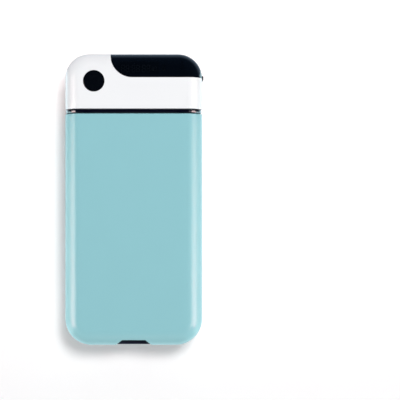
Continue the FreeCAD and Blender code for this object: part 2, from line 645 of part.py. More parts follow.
# ---------------------------------------------------------------- side key
key_ledge_x = X_SIDE - HEAD_WALL - 0.4
key_back = key_ledge_x - KEY_LEDGE
key_tip = X_SIDE + KEY_PROUD
key_cap = stadium_x(key_ledge_x - 0.1, key_tip, KEY_Y, KEY_Z, KEY_WIDTH, KEY_LENGTH)
key_cap = key_cap.makeFillet(0.35, [e for e in key_cap.Edges if e.BoundBox.XMin > key_tip - 1e-6])
key_cap = key_cap.fuse(stadium_x(key_back, key_ledge_x, KEY_Y, KEY_Z, KEY_WIDTH + 2 * KEY_LEDGE,
                                 KEY_LENGTH + 2 * KEY_LEDGE)).removeSplitter()
save("side_key_cap", key_cap)
side_face = key_back - KEY_TRAVEL - 0.1
side_back = side_face - SIDE_SWITCH_DEPTH
side_low = KEY_Z - FRONT_BOARD_TO_KEY
side_switch = box(side_back, side_face, KEY_Y - SIDE_SWITCH_HALF, KEY_Y + SIDE_SWITCH_HALF, side_low,
                  FRONT_BOARD_Z)
side_floor = side_back + SWITCH_FLOOR
side_switch = side_switch.cut(rod_x(KEY_Y, KEY_Z, side_floor, side_face + 1, SIDE_PLUNGER_R + PLUNGER_GAP))
save("side_switch_body", side_switch)
save("side_switch_plunger", rod_x(KEY_Y, KEY_Z, side_floor + KEY_TRAVEL + 0.3, key_back, SIDE_PLUNGER_R))

# ---------------------------------------------------------------- front board, display, lights
face = plan_face(FRONT_BOARD_INSET, Y_HEAD - 2, Y_TOP - FRONT_BOARD_INSET, 0, HEAD_CORNER_R - FRONT_BOARD_INSET)
face.translate(Vec(0, 0, FRONT_BOARD_Z))
front_board = face.extrude(Vec(0, 0, BOARD_THICK))
board_zone = box(-WIDTH, WIDTH, board_foot, Y_TOP, 0, THICK)
board_zone = board_zone.fuse(box(BUTTON_X - 5.0, closure_x + 0.4, closure_y - 2.7, board_foot + 1, 0, THICK))
front_board = front_board.common(board_zone).removeSplitter()
front_board_screws = []
for x, y in front_boss_at:
    front_board = front_board.cut(rod(x, y, FRONT_BOARD_Z - 1, board_top + 1, SMALL_SCREW_R + SCREW_GAP))
    front_board_screws.append(screw(x, y, FRONT_BOARD_Z, Vec(0, 0, 1), SMALL_SCREW_R, SMALL_SCREW_LENGTH,
                                    SMALL_HEAD_R, SMALL_HEAD_H))
save("front_board", front_board)
save("front_board_screws", *front_board_screws)

face_z = DISPLAY_TOP - 2 * SEG_THICK
display = box(DISPLAY_X0, DISPLAY_X1, DISPLAY_Y0, DISPLAY_Y1, board_top, DISPLAY_TOP)
display = display.cut(box(DISPLAY_X0 + DISPLAY_RIM, DISPLAY_X1 - DISPLAY_RIM, DISPLAY_Y0 + DISPLAY_RIM,
                          DISPLAY_Y1 - DISPLAY_RIM, face_z, DISPLAY_TOP + 1))
save("display_module", display)

DIGIT_H = (DISPLAY_Y1 - DISPLAY_Y0) * 0.586
digit_y = (DISPLAY_Y0 + DISPLAY_Y1 - DIGIT_H) / 2


def bar(x0, x1, y0, y1):
    return box(x0, x1, y0, y1, face_z, face_z + SEG_THICK)


def digit(x):
    """All seven bars of one figure, each apart from its neighbours."""
    out = []
    half = DIGIT_H / 2
    for level in (0, half - STROKE / 2, DIGIT_H - STROKE):
        out.append(bar(x + STROKE, x + DIGIT_W - STROKE, digit_y + level, digit_y + level + STROKE))
    top = digit_y + DIGIT_H
    for column in (x, x + DIGIT_W - STROKE):
        out.append(bar(column, column + STROKE, digit_y + STROKE, top - half - STROKE / 2))
        out.append(bar(column, column + STROKE, top - half + STROKE / 2, top - STROKE))
    return out


segments = []
cursor = DISPLAY_X0 + 0.8
for pair in range(3):
    for figure in range(2):
        segments += digit(cursor)
        cursor += DIGIT_W + DIGIT_SPACE
    if pair < 2:
        for level in (DIGIT_H * 0.25, DIGIT_H * 0.65):
            segments.append(bar(cursor, cursor + STROKE, digit_y + level, digit_y + level + STROKE))
        cursor += COLON_SPACE
sign_low = digit_y + DIGIT_H * 0.18
sign_mid = digit_y + DIGIT_H * 0.53
sign_high = digit_y + DIGIT_H * 0.79
lock_x = cursor + 0.2
lock_body = bar(lock_x, lock_x + 1.2, sign_low, sign_mid)
shackle = bar(lock_x + 0.2, lock_x + 1.0, sign_mid, sign_high)
shackle = shackle.cut(box(lock_x + 0.4, lock_x + 0.8, sign_mid - 0.1, sign_high - 0.2, 0, THICK))
segments.append(lock_body.fuse(shackle).removeSplitter())
cell_x = lock_x + 1.5
cell = bar(cell_x, cell_x + 0.9, sign_low, sign_high)
cell = cell.cut(box(cell_x + 0.15, cell_x + 0.75, sign_low + 0.15, sign_high - 0.15, 0, THICK))
segments.append(cell)
save("display_segments", *segments)

lights = []
light_ys = [Y_TOP - drop for drop in LIGHT_DROPS]
pipes = box(DISPLAY_X1, LIGHT_X, light_ys[0] - 0.4, light_ys[1] + 0.4, board_top + 2.1, board_top + 2.9)
for y in light_ys:
    lights.append(box(LIGHT_X - 0.8, LIGHT_X + 0.8, y - 0.4, y + 0.4, board_top, board_top + 0.6))
    pipes = pipes.fuse(rod(LIGHT_X, y, board_top + 0.7, FRONT_INNER_Z, PIPE_R))
save("status_lights", *lights)
save("light_pipes", pipes.removeSplitter())

# ---------------------------------------------------------------- main board
board_y = base_seat + 0.3
face = plan_face(MAIN_BOARD_INSET, board_y, Y_TOP - MAIN_BOARD_INSET, 0, HEAD_CORNER_R - MAIN_BOARD_INSET)
face.translate(Vec(0, 0, MAIN_BOARD_Z))
main_board = face.extrude(Vec(0, 0, BOARD_THICK))
main_board_screws = []
for x, y in rear_boss_at:
    main_board = main_board.cut(rod(x, y, MAIN_BOARD_Z - 1, main_top + 1, SMALL_SCREW_R + SCREW_GAP))
    main_board_screws.append(screw(x, y, main_top, Vec(0, 0, -1), SMALL_SCREW_R, SMALL_SCREW_LENGTH,
                                   SMALL_HEAD_R, SMALL_HEAD_H))
save("main_board", main_board)
save("main_board_screws", *main_board_screws)


def chip(x, y, w, d, h):
    return box(x - w / 2, x + w / 2, y - d / 2, y + d / 2, main_top, main_top + h)


link_y = Y_TOP - MAIN_BOARD_INSET - LINK_EDGE
controller_y = link_y - LINK_WIDTH / 2 - 0.6 - 1.0 - CONTROLLER_SIZE / 2
save("controller_chip", chip(CONTROLLER_X, controller_y, CONTROLLER_SIZE, CONTROLLER_SIZE, 1.2))
leads = []
for k in range(8):
    step = (k - 3.5) * LEAD_PITCH
    reach = CONTROLLER_SIZE / 2 + 0.5
    for side in (-1, 1):
        leads.append(chip(CONTROLLER_X + step, controller_y + side * reach, 0.35, 1.0, 0.3))
        leads.append(chip(CONTROLLER_X + side * reach, controller_y + step, 1.0, 0.35, 0.3))
save("controller_leads", *leads)
charger_x = socket_x + SOCKET_DEPTH + 4.85
chip_y = Y_HEAD + CHIP_OFFSET
save("charger_chip", chip(charger_x, chip_y, 3.0, 3.0, 0.9))
coil = chip(charger_x + 5.5, chip_y, 4.2, 4.2, 2.4)
save("power_inductor", coil.makeFillet(0.6, [e for e in coil.Edges if e.BoundBox.ZLength > 1]))
save("motor_driver", chip(MOTOR_X - MOTOR_R - 5.2, chip_y, 5.0, 3.9, 1.3))
row_y = chip_y + 3.5
capacitors = [chip(charger_x - 0.5, row_y + 1.6 * k, 1.6, 0.8, 0.8) for k in range(5)]
capacitors += [chip(CONTROLLER_X + 5.5 + 2.4 * k, row_y + 1.5, 0.8, 1.6, 0.8) for k in range(4)]
save("board_capacitors", *capacitors)

# board-to-board link
pins = []
link_x = PIN_PITCH * (PINS - 1) / 2 + 1.5
link_foot = link_y - LINK_WIDTH / 2
link_low = box(-link_x, link_x, link_foot, link_foot + LINK_WIDTH, main_top, main_top + LINK_HEIGHT)
link_high = link_low.copy()
link_high.translate(Vec(0, 0, FRONT_BOARD_Z - main_top - LINK_HEIGHT))
for k in range(PINS):
    x = (k - (PINS - 1) / 2) * PIN_PITCH
    pin = box(x - PIN / 2, x + PIN / 2, link_y - PIN / 2, link_y + PIN / 2, main_top, FRONT_BOARD_Z)
    link_low = link_low.cut(pin)
    link_high = link_high.cut(pin)
    pins.append(pin)
save("link_housings", link_low, link_high)
save("link_pins", *pins)

# buzzer, battery
buzzer = rod(BUZZER_X, BUZZER_Y, MAIN_BOARD_Z - BUZZER_H, MAIN_BOARD_Z, BUZZER_R)
buzzer = buzzer.cut(rod(BUZZER_X, BUZZER_Y, MAIN_BOARD_Z - BUZZER_H - 1, MAIN_BOARD_Z - BUZZER_H + 0.8, 1.0))
save("buzzer", buzzer)
cell_x0 = -X_SIDE + CELL_INSET
cell_x1 = BUZZER_X - BUZZER_R - BUZZER_GAP
cell_y0 = Y_HEAD + CELL_OFFSET
cell_y1 = Y_TOP - CELL_DROP
cell_z = HEAD_WALL + PAD_THICK
battery = box(cell_x0, cell_x1, cell_y0, cell_y1, cell_z, cell_z + CELL_THICK)
save("battery", battery.makeFillet(CELL_R, battery.Edges))
save("battery_pad", box(cell_x0 + PAD_INSET, cell_x1 - PAD_INSET, cell_y0 + PAD_INSET, cell_y1 - PAD_INSET,
                        HEAD_WALL, cell_z))
plug_x = cell_x1 + PLUG_GAP
plug_y = cell_y0 + PLUG_SIZE / 2 + 2.4
plug_z = MAIN_BOARD_Z - BUZZER_H
save("battery_connector", box(plug_x, plug_x + PLUG_SIZE - 0.4, plug_y - PLUG_SIZE / 2, plug_y + PLUG_SIZE / 2,
                              plug_z, MAIN_BOARD_Z))
lead_rise = plug_z + BUZZER_H / 2 - cell_z - CELL_THICK / 2
lead_turn = 2 * math.atan(lead_rise / PLUG_GAP)
lead_r = PLUG_GAP / (2 * math.sin(lead_turn))
battery_leads = []
for y in (plug_y - 0.8, plug_y + 0.8):
    z0 = cell_z + CELL_THICK / 2
    z1 = z0 + lead_rise
    bend = Vec(0, 1, 0)
    first = Part.makeCircle(lead_r, Vec(cell_x1, y, z0 + lead_r), bend, 90 - math.degrees(lead_turn), 90)
    last = Part.makeCircle(lead_r, Vec(plug_x, y, z1 - lead_r), bend, 270 - math.degrees(lead_turn), 270)
    ring = Part.Wire(Part.makeCircle(LEAD_R, Vec(cell_x1, y, z0), Vec(1, 0, 0)))
    path = Part.Wire(Part.__sortEdges__([first, last]))
    battery_leads.append(path.makePipeShell([ring], True, False))
save("battery_leads", *battery_leads)

# ---------------------------------------------------------------- lock
MOTOR_LOW = main_top + MOTOR_GAP
WHEEL_Z0 = BASE_Z1 + WHEEL_GAP
WHEEL_Z1 = BOLT_Z_LOW - WHEEL_TOP_GAP
bed_z = BOLT_Z_LOW - RAIL_GAP
rail_z = BOLT_Z_HIGH - 0.1
rail_y = bolt_high + RAIL_GAP
rail_end = bolt_high + 1.0
guide_x0 = base_x0 + 1.0
guide_x1 = base_x0 + 4.6

base = box(base_x0, base_x1, Y_HEAD, base_front, BASE_Z0, BASE_Z1)
base = base.fuse(box(base_x0, base_x1, Y_HEAD, base_seat, base_screw_z - 2.5, strike_z0 - 0.4))
base = base.fuse(box(guide_x0, base_x1, base_seat - 0.2, BOLT_Y - 0.3, BASE_Z1 - 0.2, bed_z))
base = base.fuse(box(guide_x0, base_x1, base_seat - 0.2, bolt_low - RAIL_GAP, bed_z - 0.2, rail_z))
base = base.fuse(box(guide_x0, guide_x1, BOLT_Y - 0.5, rail_end, BASE_Z1 - 0.2, bed_z))
base = base.fuse(box(guide_x0, guide_x1, rail_y, rail_end, bed_z - 0.2, rail_z))
base = base.fuse(rod(MOTOR_X, GEAR_Y, BASE_Z0 - 2.5, BASE_Z0 + 0.1, MOTOR_R + MOTOR_BOSS))
base = base.cut(rod(MOTOR_X, GEAR_Y, BASE_Z0 - 3, BASE_Z0, MOTOR_R))
base = base.cut(rod(MOTOR_X, GEAR_Y, BASE_Z0 - 1, BASE_Z1 + 1, NECK_R))
base = base.cut(rod(GEAR_X, GEAR_Y, BASE_Z0 - 1, BASE_Z1 + 1, AXLE_R))
base_screws = []
for x in base_screw_x:
    base = base.cut(rod_y(x, base_screw_z, Y_HEAD - 1, base_seat + 1, BASE_SCREW_R + SCREW_GAP))
    base_screws.append(screw(x, base_seat, base_screw_z, Vec(0, -1, 0), BASE_SCREW_R, BASE_SCREW_LENGTH,
                             BASE_HEAD_R, SMALL_HEAD_H))
save("lock_base", base.removeSplitter())
save("lock_base_screws", *base_screws)

motor = rod(MOTOR_X, GEAR_Y, MOTOR_LOW, BASE_Z0, MOTOR_R)
motor = motor.makeFillet(0.4, [e for e in motor.Edges if e.BoundBox.ZMax < MOTOR_LOW + 0.01])
motor = motor.fuse(rod(MOTOR_X, GEAR_Y, BASE_Z0, BASE_Z0 + 0.8, NECK_R))
motor = motor.cut(rod(MOTOR_X, GEAR_Y, MOTOR_LOW + 0.6, BASE_Z1, SHAFT_R + 0.04))
save("lock_motor", motor)
save("motor_shaft", rod(MOTOR_X, GEAR_Y, MOTOR_LOW + 0.7, WHEEL_Z1 + 0.2, SHAFT_R))
save("motor_pinion", gear(WHEEL_MODULE, MOTOR_PINION_TEETH, WHEEL_SHIFT, 0.9, 0.0, MOTOR_X, GEAR_Y,
                          WHEEL_Z0 - 0.2, WHEEL_Z1, SHAFT_R))
half_tooth = math.pi / WHEEL_TEETH
wheel = gear(WHEEL_MODULE, WHEEL_TEETH, -WHEEL_SHIFT, 1.0, math.pi + half_tooth, GEAR_X, GEAR_Y, WHEEL_Z0,
             WHEEL_Z1, 0)
rack_pinion = gear(RACK_MODULE, RACK_PINION_TEETH, RACK_PINION_SHIFT, 1.0, -math.pi / 2, GEAR_X, GEAR_Y,
                   WHEEL_Z1, rail_z, 0)
wheel = wheel.fuse(rack_pinion).cut(rod(GEAR_X, GEAR_Y, BASE_Z1, THICK, AXLE_R + AXLE_GAP))
save("reduction_gear", wheel)
save("gear_axle", rod(GEAR_X, GEAR_Y, BASE_Z0, rail_z, AXLE_R))

# Bolt with its rack: the tooth gap faces a pinion tooth at rest.
pitch = math.pi * RACK_MODULE
reference_y = bolt_high + RACK_MODULE * 1.25
bolt = box(BOLT_NOSE_X, BOLT_TAIL_X, bolt_low, bolt_high, BOLT_Z_LOW, BOLT_Z_HIGH)
nose = [e for e in bolt.Edges if e.BoundBox.ZLength > 1 and e.BoundBox.XMax < BOLT_NOSE_X + 0.01]
bolt = bolt.makeChamfer(0.4, nose)
slope = math.tan(PRESSURE_ANGLE)
half_thick = pitch / 4 - 0.02
for k in range(-2, 4):
    x = GEAR_X + (k + 0.5) * pitch
    tip = half_thick - RACK_MODULE * slope
    foot = half_thick + RACK_MODULE * 1.25 * slope
    tooth = prism([(x - foot, bolt_high - 0.2), (x - foot, bolt_high), (x - tip, reference_y + RACK_MODULE),
                   (x + tip, reference_y + RACK_MODULE), (x + foot, bolt_high), (x + foot, bolt_high - 0.2)],
                  BOLT_Z_LOW, BOLT_Z_HIGH)
    bolt = bolt.fuse(tooth)
save("lock_bolt", bolt.removeSplitter())

# Closure switch: senses the strike plate's edge.
closure = box(closure_x - 4.2, closure_x, closure_y - 2.5, closure_y + 2.5, board_top, flange_top)
closure_z = strike_z0 + 0.4
closure_pin = rod_x(closure_y, closure_z, closure_x - 0.6, -STRIKE_HALF - 0.4, 0.4)
save("closure_switch", closure.cut(closure_pin))
save("closure_plunger", closure_pin)
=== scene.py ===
import json
import math

import bmesh
import bpy
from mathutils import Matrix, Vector


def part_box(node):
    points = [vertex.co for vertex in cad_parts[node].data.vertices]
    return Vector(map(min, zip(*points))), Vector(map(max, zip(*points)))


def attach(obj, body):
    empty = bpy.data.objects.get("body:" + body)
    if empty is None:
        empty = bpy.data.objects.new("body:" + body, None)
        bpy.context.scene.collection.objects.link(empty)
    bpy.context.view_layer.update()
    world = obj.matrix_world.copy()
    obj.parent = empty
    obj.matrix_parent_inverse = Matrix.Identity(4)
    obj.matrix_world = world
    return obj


bl_info = {
    "name": "Timed Lock Container",
    "version": (1, 0, 0),
    "blender": (4, 5, 0),
    "location": "3D View > Sidebar > Lock Container",
    "description": "Dresses a pocket timed lock container, from its moulded case to its lock",
    "category": "Add Mesh",
}

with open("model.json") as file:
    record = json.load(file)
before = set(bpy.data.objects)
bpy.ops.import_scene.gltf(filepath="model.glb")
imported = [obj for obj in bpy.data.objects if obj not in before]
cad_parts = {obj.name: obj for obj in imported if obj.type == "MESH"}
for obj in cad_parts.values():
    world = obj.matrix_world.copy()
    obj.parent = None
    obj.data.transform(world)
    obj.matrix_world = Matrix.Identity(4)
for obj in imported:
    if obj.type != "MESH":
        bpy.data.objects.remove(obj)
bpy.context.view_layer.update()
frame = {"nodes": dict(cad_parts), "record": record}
MM = 0.001


# ---- places read from the frame
def low(node, axis):
    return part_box(node)[0][axis]


def high(node, axis):
    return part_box(node)[1][axis]


def middle(box):
    return [(a + b) / 2 for a, b in zip(*box)]


def solid_boxes(node):
    """Boxes of a CAD node's separate solids, found by joining triangles that share a corner."""
    shape = frame["nodes"][node]
    corners = [tuple(round(c, 6) for c in shape.matrix_world @ v.co) for v in shape.data.vertices]
    leader = {corner: corner for corner in corners}

    def root(corner):
        while leader[corner] != corner:
            leader[corner] = leader[leader[corner]]
            corner = leader[corner]
        return corner

    for face in shape.data.polygons:
        first = root(corners[face.vertices[0]])
        for k in face.vertices[1:]:
            leader[root(corners[k])] = first
    groups = {}
    for corner in leader:
        groups.setdefault(root(corner), []).append(corner)
    return sorted(([min(c) for c in zip(*group)], [max(c) for c in zip(*group)])
                  for group in groups.values())


X, Y, Z = 0, 1, 2
THICKNESS = high("sleeve", Z)

# ---- studio levels
TENT_LEVEL = 0.37               # even diffuse light from all round
TENT_FOOT = 1.3                 # its share from beyond the foot
TENT_HEAD = ("dfe6f0", 0.82)    # its colour and share from beyond the head
FLOOR_GLOW = 0.14               # the table top's own glow round the case, painted light that lifts the case's shadow
FLOOR_GLOW_FOOT = 0.06          # the same glow before the foot, lower, so less painted light lifts the shadow there
FLOOR_FOOT_FADE = (-0.09, -0.05)    # along Y, where the second glow turns into the first
FLOOR_NEAR = 0.18               # the glow is even to this distance
FLOOR_FAR = 0.7                 # and full white from this one
FLOOR_WARM = "ffd6cb"           # painted warm tint of that glow in the case's shadow, against the light off its mint side
# diffuse lamps: name, place, side, power
LAMPS = (
    ("key", (0.18, 0.32, 1.15), 0.26, 8.75),
    ("fill", (0.0, -0.9, 0.6), 0.6, 1.55),
)
# what gloss sees of the room, from straight down to straight up: position, colour, level
ROOM_LEVELS = (
    (0.0, "a9bccd", 0.9),
    (0.25, "8fa6bf", 0.9),
    (0.5, "30415c", 0.6),
    (1.0, "0d1220", 0.6),
)
STRIP_MIDDLE = -0.083           # the strips reach from past the foot to the head
STRIP_LENGTH = 0.355
# gloss panels: place, width, height, radiance, colour
PANELS = (
    ((-0.5, STRIP_MIDDLE, 0.31), STRIP_LENGTH, 0.40, 9.2, "ffe9e5"),
    ((0.5, STRIP_MIDDLE, 0.32), STRIP_LENGTH, 0.46, 8.0, "ffe9e5"),
    ((0.4, STRIP_MIDDLE, 0.75), STRIP_LENGTH, 0.35, 1.6, "ffffff"),
    ((-0.5, -0.2, 0.31), 0.2, 0.36, 7.0, "ffbccc"),
    ((0.5, -0.2, 0.32), 0.2, 0.42, 7.3, "ffb8ca"),
    ((-0.5, -0.17, -0.04), 0.5, 0.24, 5.4, "d5fbff"),
    ((0.5, -0.17, -0.04), 0.5, 0.24, 4.4, "d5fbff"),
    ((-0.4, -0.42, 0.06), 0.4, 0.7, 1.6, "d5fbff"),
    ((0.4, -0.42, 0.06), 0.4, 0.7, 1.4, "d5fbff"),
    ((-0.5, -0.1, -0.45), 0.7, 0.5, 2.2, "d5fbff"),
    ((0.5, -0.1, -0.45), 0.7, 0.5, 1.8, "d5fbff"),
    ((0.0, -0.5, 0.2), 0.5, 0.6, 0.5, "ffffff"),
    ((0.0, -0.5, -0.35), 0.9, 0.5, 1.4, "d5fbff"),
)
# two black flags over the front keep its flat middle from mirroring the strips in side views
FLAG_PLACE = 0.0232             # just inside the case's soft edges
FLAG_GAP = 0.0006               # between the front and the flag's foot
FLAG_HEIGHT = 0.058
FLAG_MIDDLE = -0.045            # along Y; they reach over the sleeve when it is open too
FLAG_LENGTH = 0.23
# camera: the case's middle in a square frame, in pixels from the left and from the top
FRAME_SIDE = 400.0
MIDDLE_ACROSS = 133.7
MIDDLE_DOWN = 199.55
SENSOR_WIDTH = 36.0             # in millimetres, as the lens is


# ---- sizes and colours a user may change
class LockCaseSizes(bpy.types.PropertyGroup):
    thread_pitch: bpy.props.FloatProperty(
        name="Thread Pitch", description="Rise of the screws' rolled thread in one turn",
        default=0.45 * MM, subtype="DISTANCE", unit="LENGTH", min=0.2 * MM, max=1.0 * MM)
    thread_height: bpy.props.FloatProperty(
        name="Thread Height", description="How far the thread stands out of the shank",
        default=0.12 * MM, subtype="DISTANCE", unit="LENGTH", min=0.05 * MM, max=0.4 * MM)
    contact_count: bpy.props.IntProperty(
        name="Socket Contacts", description="Contact strips on each face of the socket's tongue",
        default=12, min=2, max=12)
    contact_pitch: bpy.props.FloatProperty(
        name="Contact Pitch", description="Spacing of the socket's contact strips",
        default=0.5 * MM, subtype="DISTANCE", unit="LENGTH", min=0.4 * MM, max=0.6 * MM)
    contact_width: bpy.props.FloatProperty(
        name="Contact Width", description="Width of one contact strip",
        default=0.26 * MM, subtype="DISTANCE", unit="LENGTH", min=0.1 * MM, max=0.35 * MM)
    tape_width: bpy.props.FloatProperty(
        name="Battery Tape", description="Width of the tape round the cell's lead end",
        default=2.4 * MM, subtype="DISTANCE", unit="LENGTH", min=1.0 * MM, max=6.0 * MM)
    cell_round: bpy.props.FloatProperty(
        name="Cell Round", description="Radius of the cell's long edges",
        default=1.2 * MM, subtype="DISTANCE", unit="LENGTH", min=0.5 * MM, max=2.5 * MM)
    case_edge: bpy.props.FloatProperty(
        name="Case Edge Round", description="Radius of the long soft edges of front and back",
        default=7.0 * MM, subtype="DISTANCE", unit="LENGTH", min=1.0 * MM, max=12.0 * MM)
    floor_size: bpy.props.FloatProperty(
        name="Floor Size", description="Side of the pale table top under the case",
        default=1.6, subtype="DISTANCE", unit="LENGTH", min=0.5, max=5.0)
    camera_height: bpy.props.FloatProperty(
        name="Camera Height", description="Lens above the table top",
        default=0.553, subtype="DISTANCE", unit="LENGTH", min=0.3, max=3.0)
    view_width: bpy.props.FloatProperty(
        name="View Width", description="Width of the view at the case's widest level",
        default=0.1846, subtype="DISTANCE", unit="LENGTH", min=0.08, max=1.0)


class LockCaseColours(bpy.types.PropertyGroup):
    sleeve: bpy.props.StringProperty(
        name="Sleeve", description="Moulded ABS of the sleeve, sRGB hex", default="93cad1")
    sleeve_shine: bpy.props.StringProperty(
        name="Sleeve Shine", description="Tint of its soft highlights, sRGB hex", default="ffd2b8")
    head: bpy.props.StringProperty(
        name="Head", description="Moulded ABS of both head covers, sRGB hex", default="f7f7f8")
    window: bpy.props.StringProperty(
        name="Window", description="Smoked acrylic over the display, sRGB hex", default="04080f")
    controls: bpy.props.StringProperty(
        name="Controls", description="Button and side key, sRGB hex", default="04070e")
    collar: bpy.props.StringProperty(
        name="Collar", description="Dark band between head and sleeve, sRGB hex", default="060716")
    # the tray's navy is set darker than the lit tray, partly to paint the shade in the notch under
    # the sleeve's rim
    tray: bpy.props.StringProperty(
        name="Tray", description="Moulded ABS of the inner tray, sRGB hex", default="1b2034")


def sizes():
    return bpy.context.scene.lock_case_sizes


def colours():
    return bpy.context.scene.lock_case_colours


# ---- materials
def linear(hex_colour):
    """sRGB hex to the linear RGBA that a shader socket takes."""
    out = []
    for k in (0, 2, 4):
        c = int(hex_colour[k:k + 2], 16) / 255
        out.append(c / 12.92 if c <= 0.04045 else ((c + 0.055) / 1.055) ** 2.4)
    return (*out, 1.0)


def dimmed(hex_colour, share):
    """The linear RGBA of a colour at a share of its light."""
    return [c * share for c in linear(hex_colour)[:3]] + [1.0]


def add_node(tree, kind, settings=None, inputs=None, links=None):
    """One shader node with its settings, its socket values and its incoming links."""
    node = tree.nodes.new(kind)
    for key, value in (settings or {}).items():
        setattr(node, key, value)
    for key, value in (inputs or {}).items():
        node.inputs[key].default_value = value
    for key, source in (links or {}).items():
        tree.links.new(source, node.inputs[key])
    return node


def new_material(name, **shader):
    """A material whose Principled BSDF has the given constant sockets; returns it with its tree."""
    material = bpy.data.materials.new(name)
    material.use_nodes = True
    tree = material.node_tree
    principled = tree.nodes["Principled BSDF"]
    for key, value in shader.items():
        principled.inputs[key.replace("_", " ")].default_value = value
    return material, tree, principled


NOISE_SPAN = (0.3, 0.7)         # nearly all of a noise lies between these


def two_tone(tree, principled, noise, hex_colour, dark, light):
    """Base colour that follows a noise from its darker to its lighter share."""
    ramp = add_node(tree, "ShaderNodeValToRGB", links={"Fac": noise.outputs["Fac"]})
    for stop, position, share in zip(ramp.color_ramp.elements, NOISE_SPAN, (dark, light)):
        stop.position = position
        stop.color = [min(1.0, c) for c in dimmed(hex_colour, share)]
    tree.links.new(ramp.outputs["Color"], principled.inputs["Base Color"])


def mottle(tree, principled, hex_colour, spread, size_mm):
    """Lets the base colour vary slightly, in patches of a real size; returns the coords' link."""
    coords = {"Vector": add_node(tree, "ShaderNodeTexCoord").outputs["Object"]}
    noise = add_node(tree, "ShaderNodeTexNoise", None,
                     {"Scale": 1000 / size_mm, "Detail": 3.0}, coords)
    two_tone(tree, principled, noise, hex_colour, 1 - spread, 1 + spread)
    return coords


def vary_roughness(tree, principled, coords, lowest, highest, size_mm):
    """Handling leaves the gloss a little uneven, in soft patches of a real size."""
    noise = add_node(tree, "ShaderNodeTexNoise", None,
                     {"Scale": 1000 / size_mm, "Detail": 2.0}, coords)
    spread = add_node(tree, "ShaderNodeMapRange", {"clamp": False},
                      {"To Min": lowest, "To Max": highest}, {"Value": noise.outputs["Fac"]})
    tree.links.new(spread.outputs["Result"], principled.inputs["Roughness"])


def grain(tree, principled, coords, size_mm, depth_mm):
    """Bump of a mould grain, by its spacing and depth; it is drawn coarser than real, to show."""
    noise = add_node(tree, "ShaderNodeTexNoise", None,
                     {"Scale": 1000 / size_mm, "Detail": 2.0}, coords)
    bump = add_node(tree, "ShaderNodeBump", inputs={"Strength": 1.0, "Distance": depth_mm * MM},
                    links={"Height": noise.outputs["Fac"]})
    tree.links.new(bump.outputs["Normal"], principled.inputs["Normal"])


def moulded(name, hex_colour, rough, grain_mm, depth_mm, shine="ffffff"):
    """Moulded plastic: even body colour, faint mould grain and a soft, slightly uneven gloss."""
    material, tree, principled = new_material(name, IOR=1.53, Specular_Tint=linear(shine))
    coords = mottle(tree, principled, hex_colour, 0.006, 14.0)
    vary_roughness(tree, principled, coords, *rough, 9.0)
    grain(tree, principled, coords, grain_mm, depth_mm)
    return material


def polished_plastic(name, hex_colour, rough, coat=0.4, coat_rough=0.06):
    """Moulded in a polished tool: near-black, mirror-like, with the faintest haze of handling."""
    material, tree, principled = new_material(name, IOR=1.49, Coat_Weight=coat,
                                              Coat_Roughness=coat_rough)
    coords = mottle(tree, principled, hex_colour, 0.05, 4.0)
    vary_roughness(tree, principled, coords, *rough, 5.0)
    return material


def smoked_window(name, hex_colour, open_boxes, clear=0.3):
    """Smoked acrylic, printed black behind: light passes only over the two boxes, faintly."""
    material = polished_plastic(name, hex_colour, (0.03, 0.07), coat_rough=0.03)
    tree = material.node_tree
    coords = {"Vector": tree.nodes["Texture Coordinate"].outputs["Object"]}
    place = add_node(tree, "ShaderNodeSeparateXYZ", links=coords)
    over = []
    for box in open_boxes:
        centre = middle(box)
        sides = [add_node(tree, "ShaderNodeMath", {"operation": "COMPARE"},
                          {1: centre[axis], 2: (box[1][axis] - box[0][axis]) / 2},
                          {0: place.outputs[axis]}) for axis in (X, Y)]
        over.append(add_node(tree, "ShaderNodeMath", {"operation": "MULTIPLY"}, None,
                             {k: side.outputs[0] for k, side in enumerate(sides)}))
    passes = add_node(tree, "ShaderNodeMath", {"operation": "MAXIMUM"}, None,
                      {k: node.outputs[0] for k, node in enumerate(over)})
    alpha = add_node(tree, "ShaderNodeMapRange", inputs={"To Min": 1.0, "To Max": 1.0 - clear},
                     links={"Value": passes.outputs[0]})
    tree.links.new(alpha.outputs["Result"], tree.nodes["Principled BSDF"].inputs["Alpha"])
    return material


def worked_metal(name, hex_colour, rough, stretch, size_mm, depth_mm):
    """Metal with the lines or grit of how it was made, drawn coarser than real, to show.

    The stretch runs the lines along one axis.
    """
    material, tree, principled = new_material(name, Metallic=1.0)
    coords = {"Vector": add_node(tree, "ShaderNodeTexCoord").outputs["Object"]}
    mapping = add_node(tree, "ShaderNodeMapping", None, {"Scale": stretch}, coords)
    lines = add_node(tree, "ShaderNodeTexNoise", None,
                     {"Scale": 1000 / size_mm, "Detail": 3.0},
                     {"Vector": mapping.outputs["Vector"]})
    two_tone(tree, principled, lines, hex_colour, 0.88, 1.0)
    levels = {"From Min": NOISE_SPAN[0], "From Max": NOISE_SPAN[1],
              "To Min": rough[0], "To Max": rough[1]}
    spread = add_node(tree, "ShaderNodeMapRange", None, levels, {"Value": lines.outputs["Fac"]})
    bump = add_node(tree, "ShaderNodeBump", inputs={"Strength": 0.6, "Distance": depth_mm * MM},
                    links={"Height": lines.outputs["Fac"]})
    tree.links.new(spread.outputs["Result"], principled.inputs["Roughness"])
    tree.links.new(bump.outputs["Normal"], principled.inputs["Normal"])
    return material


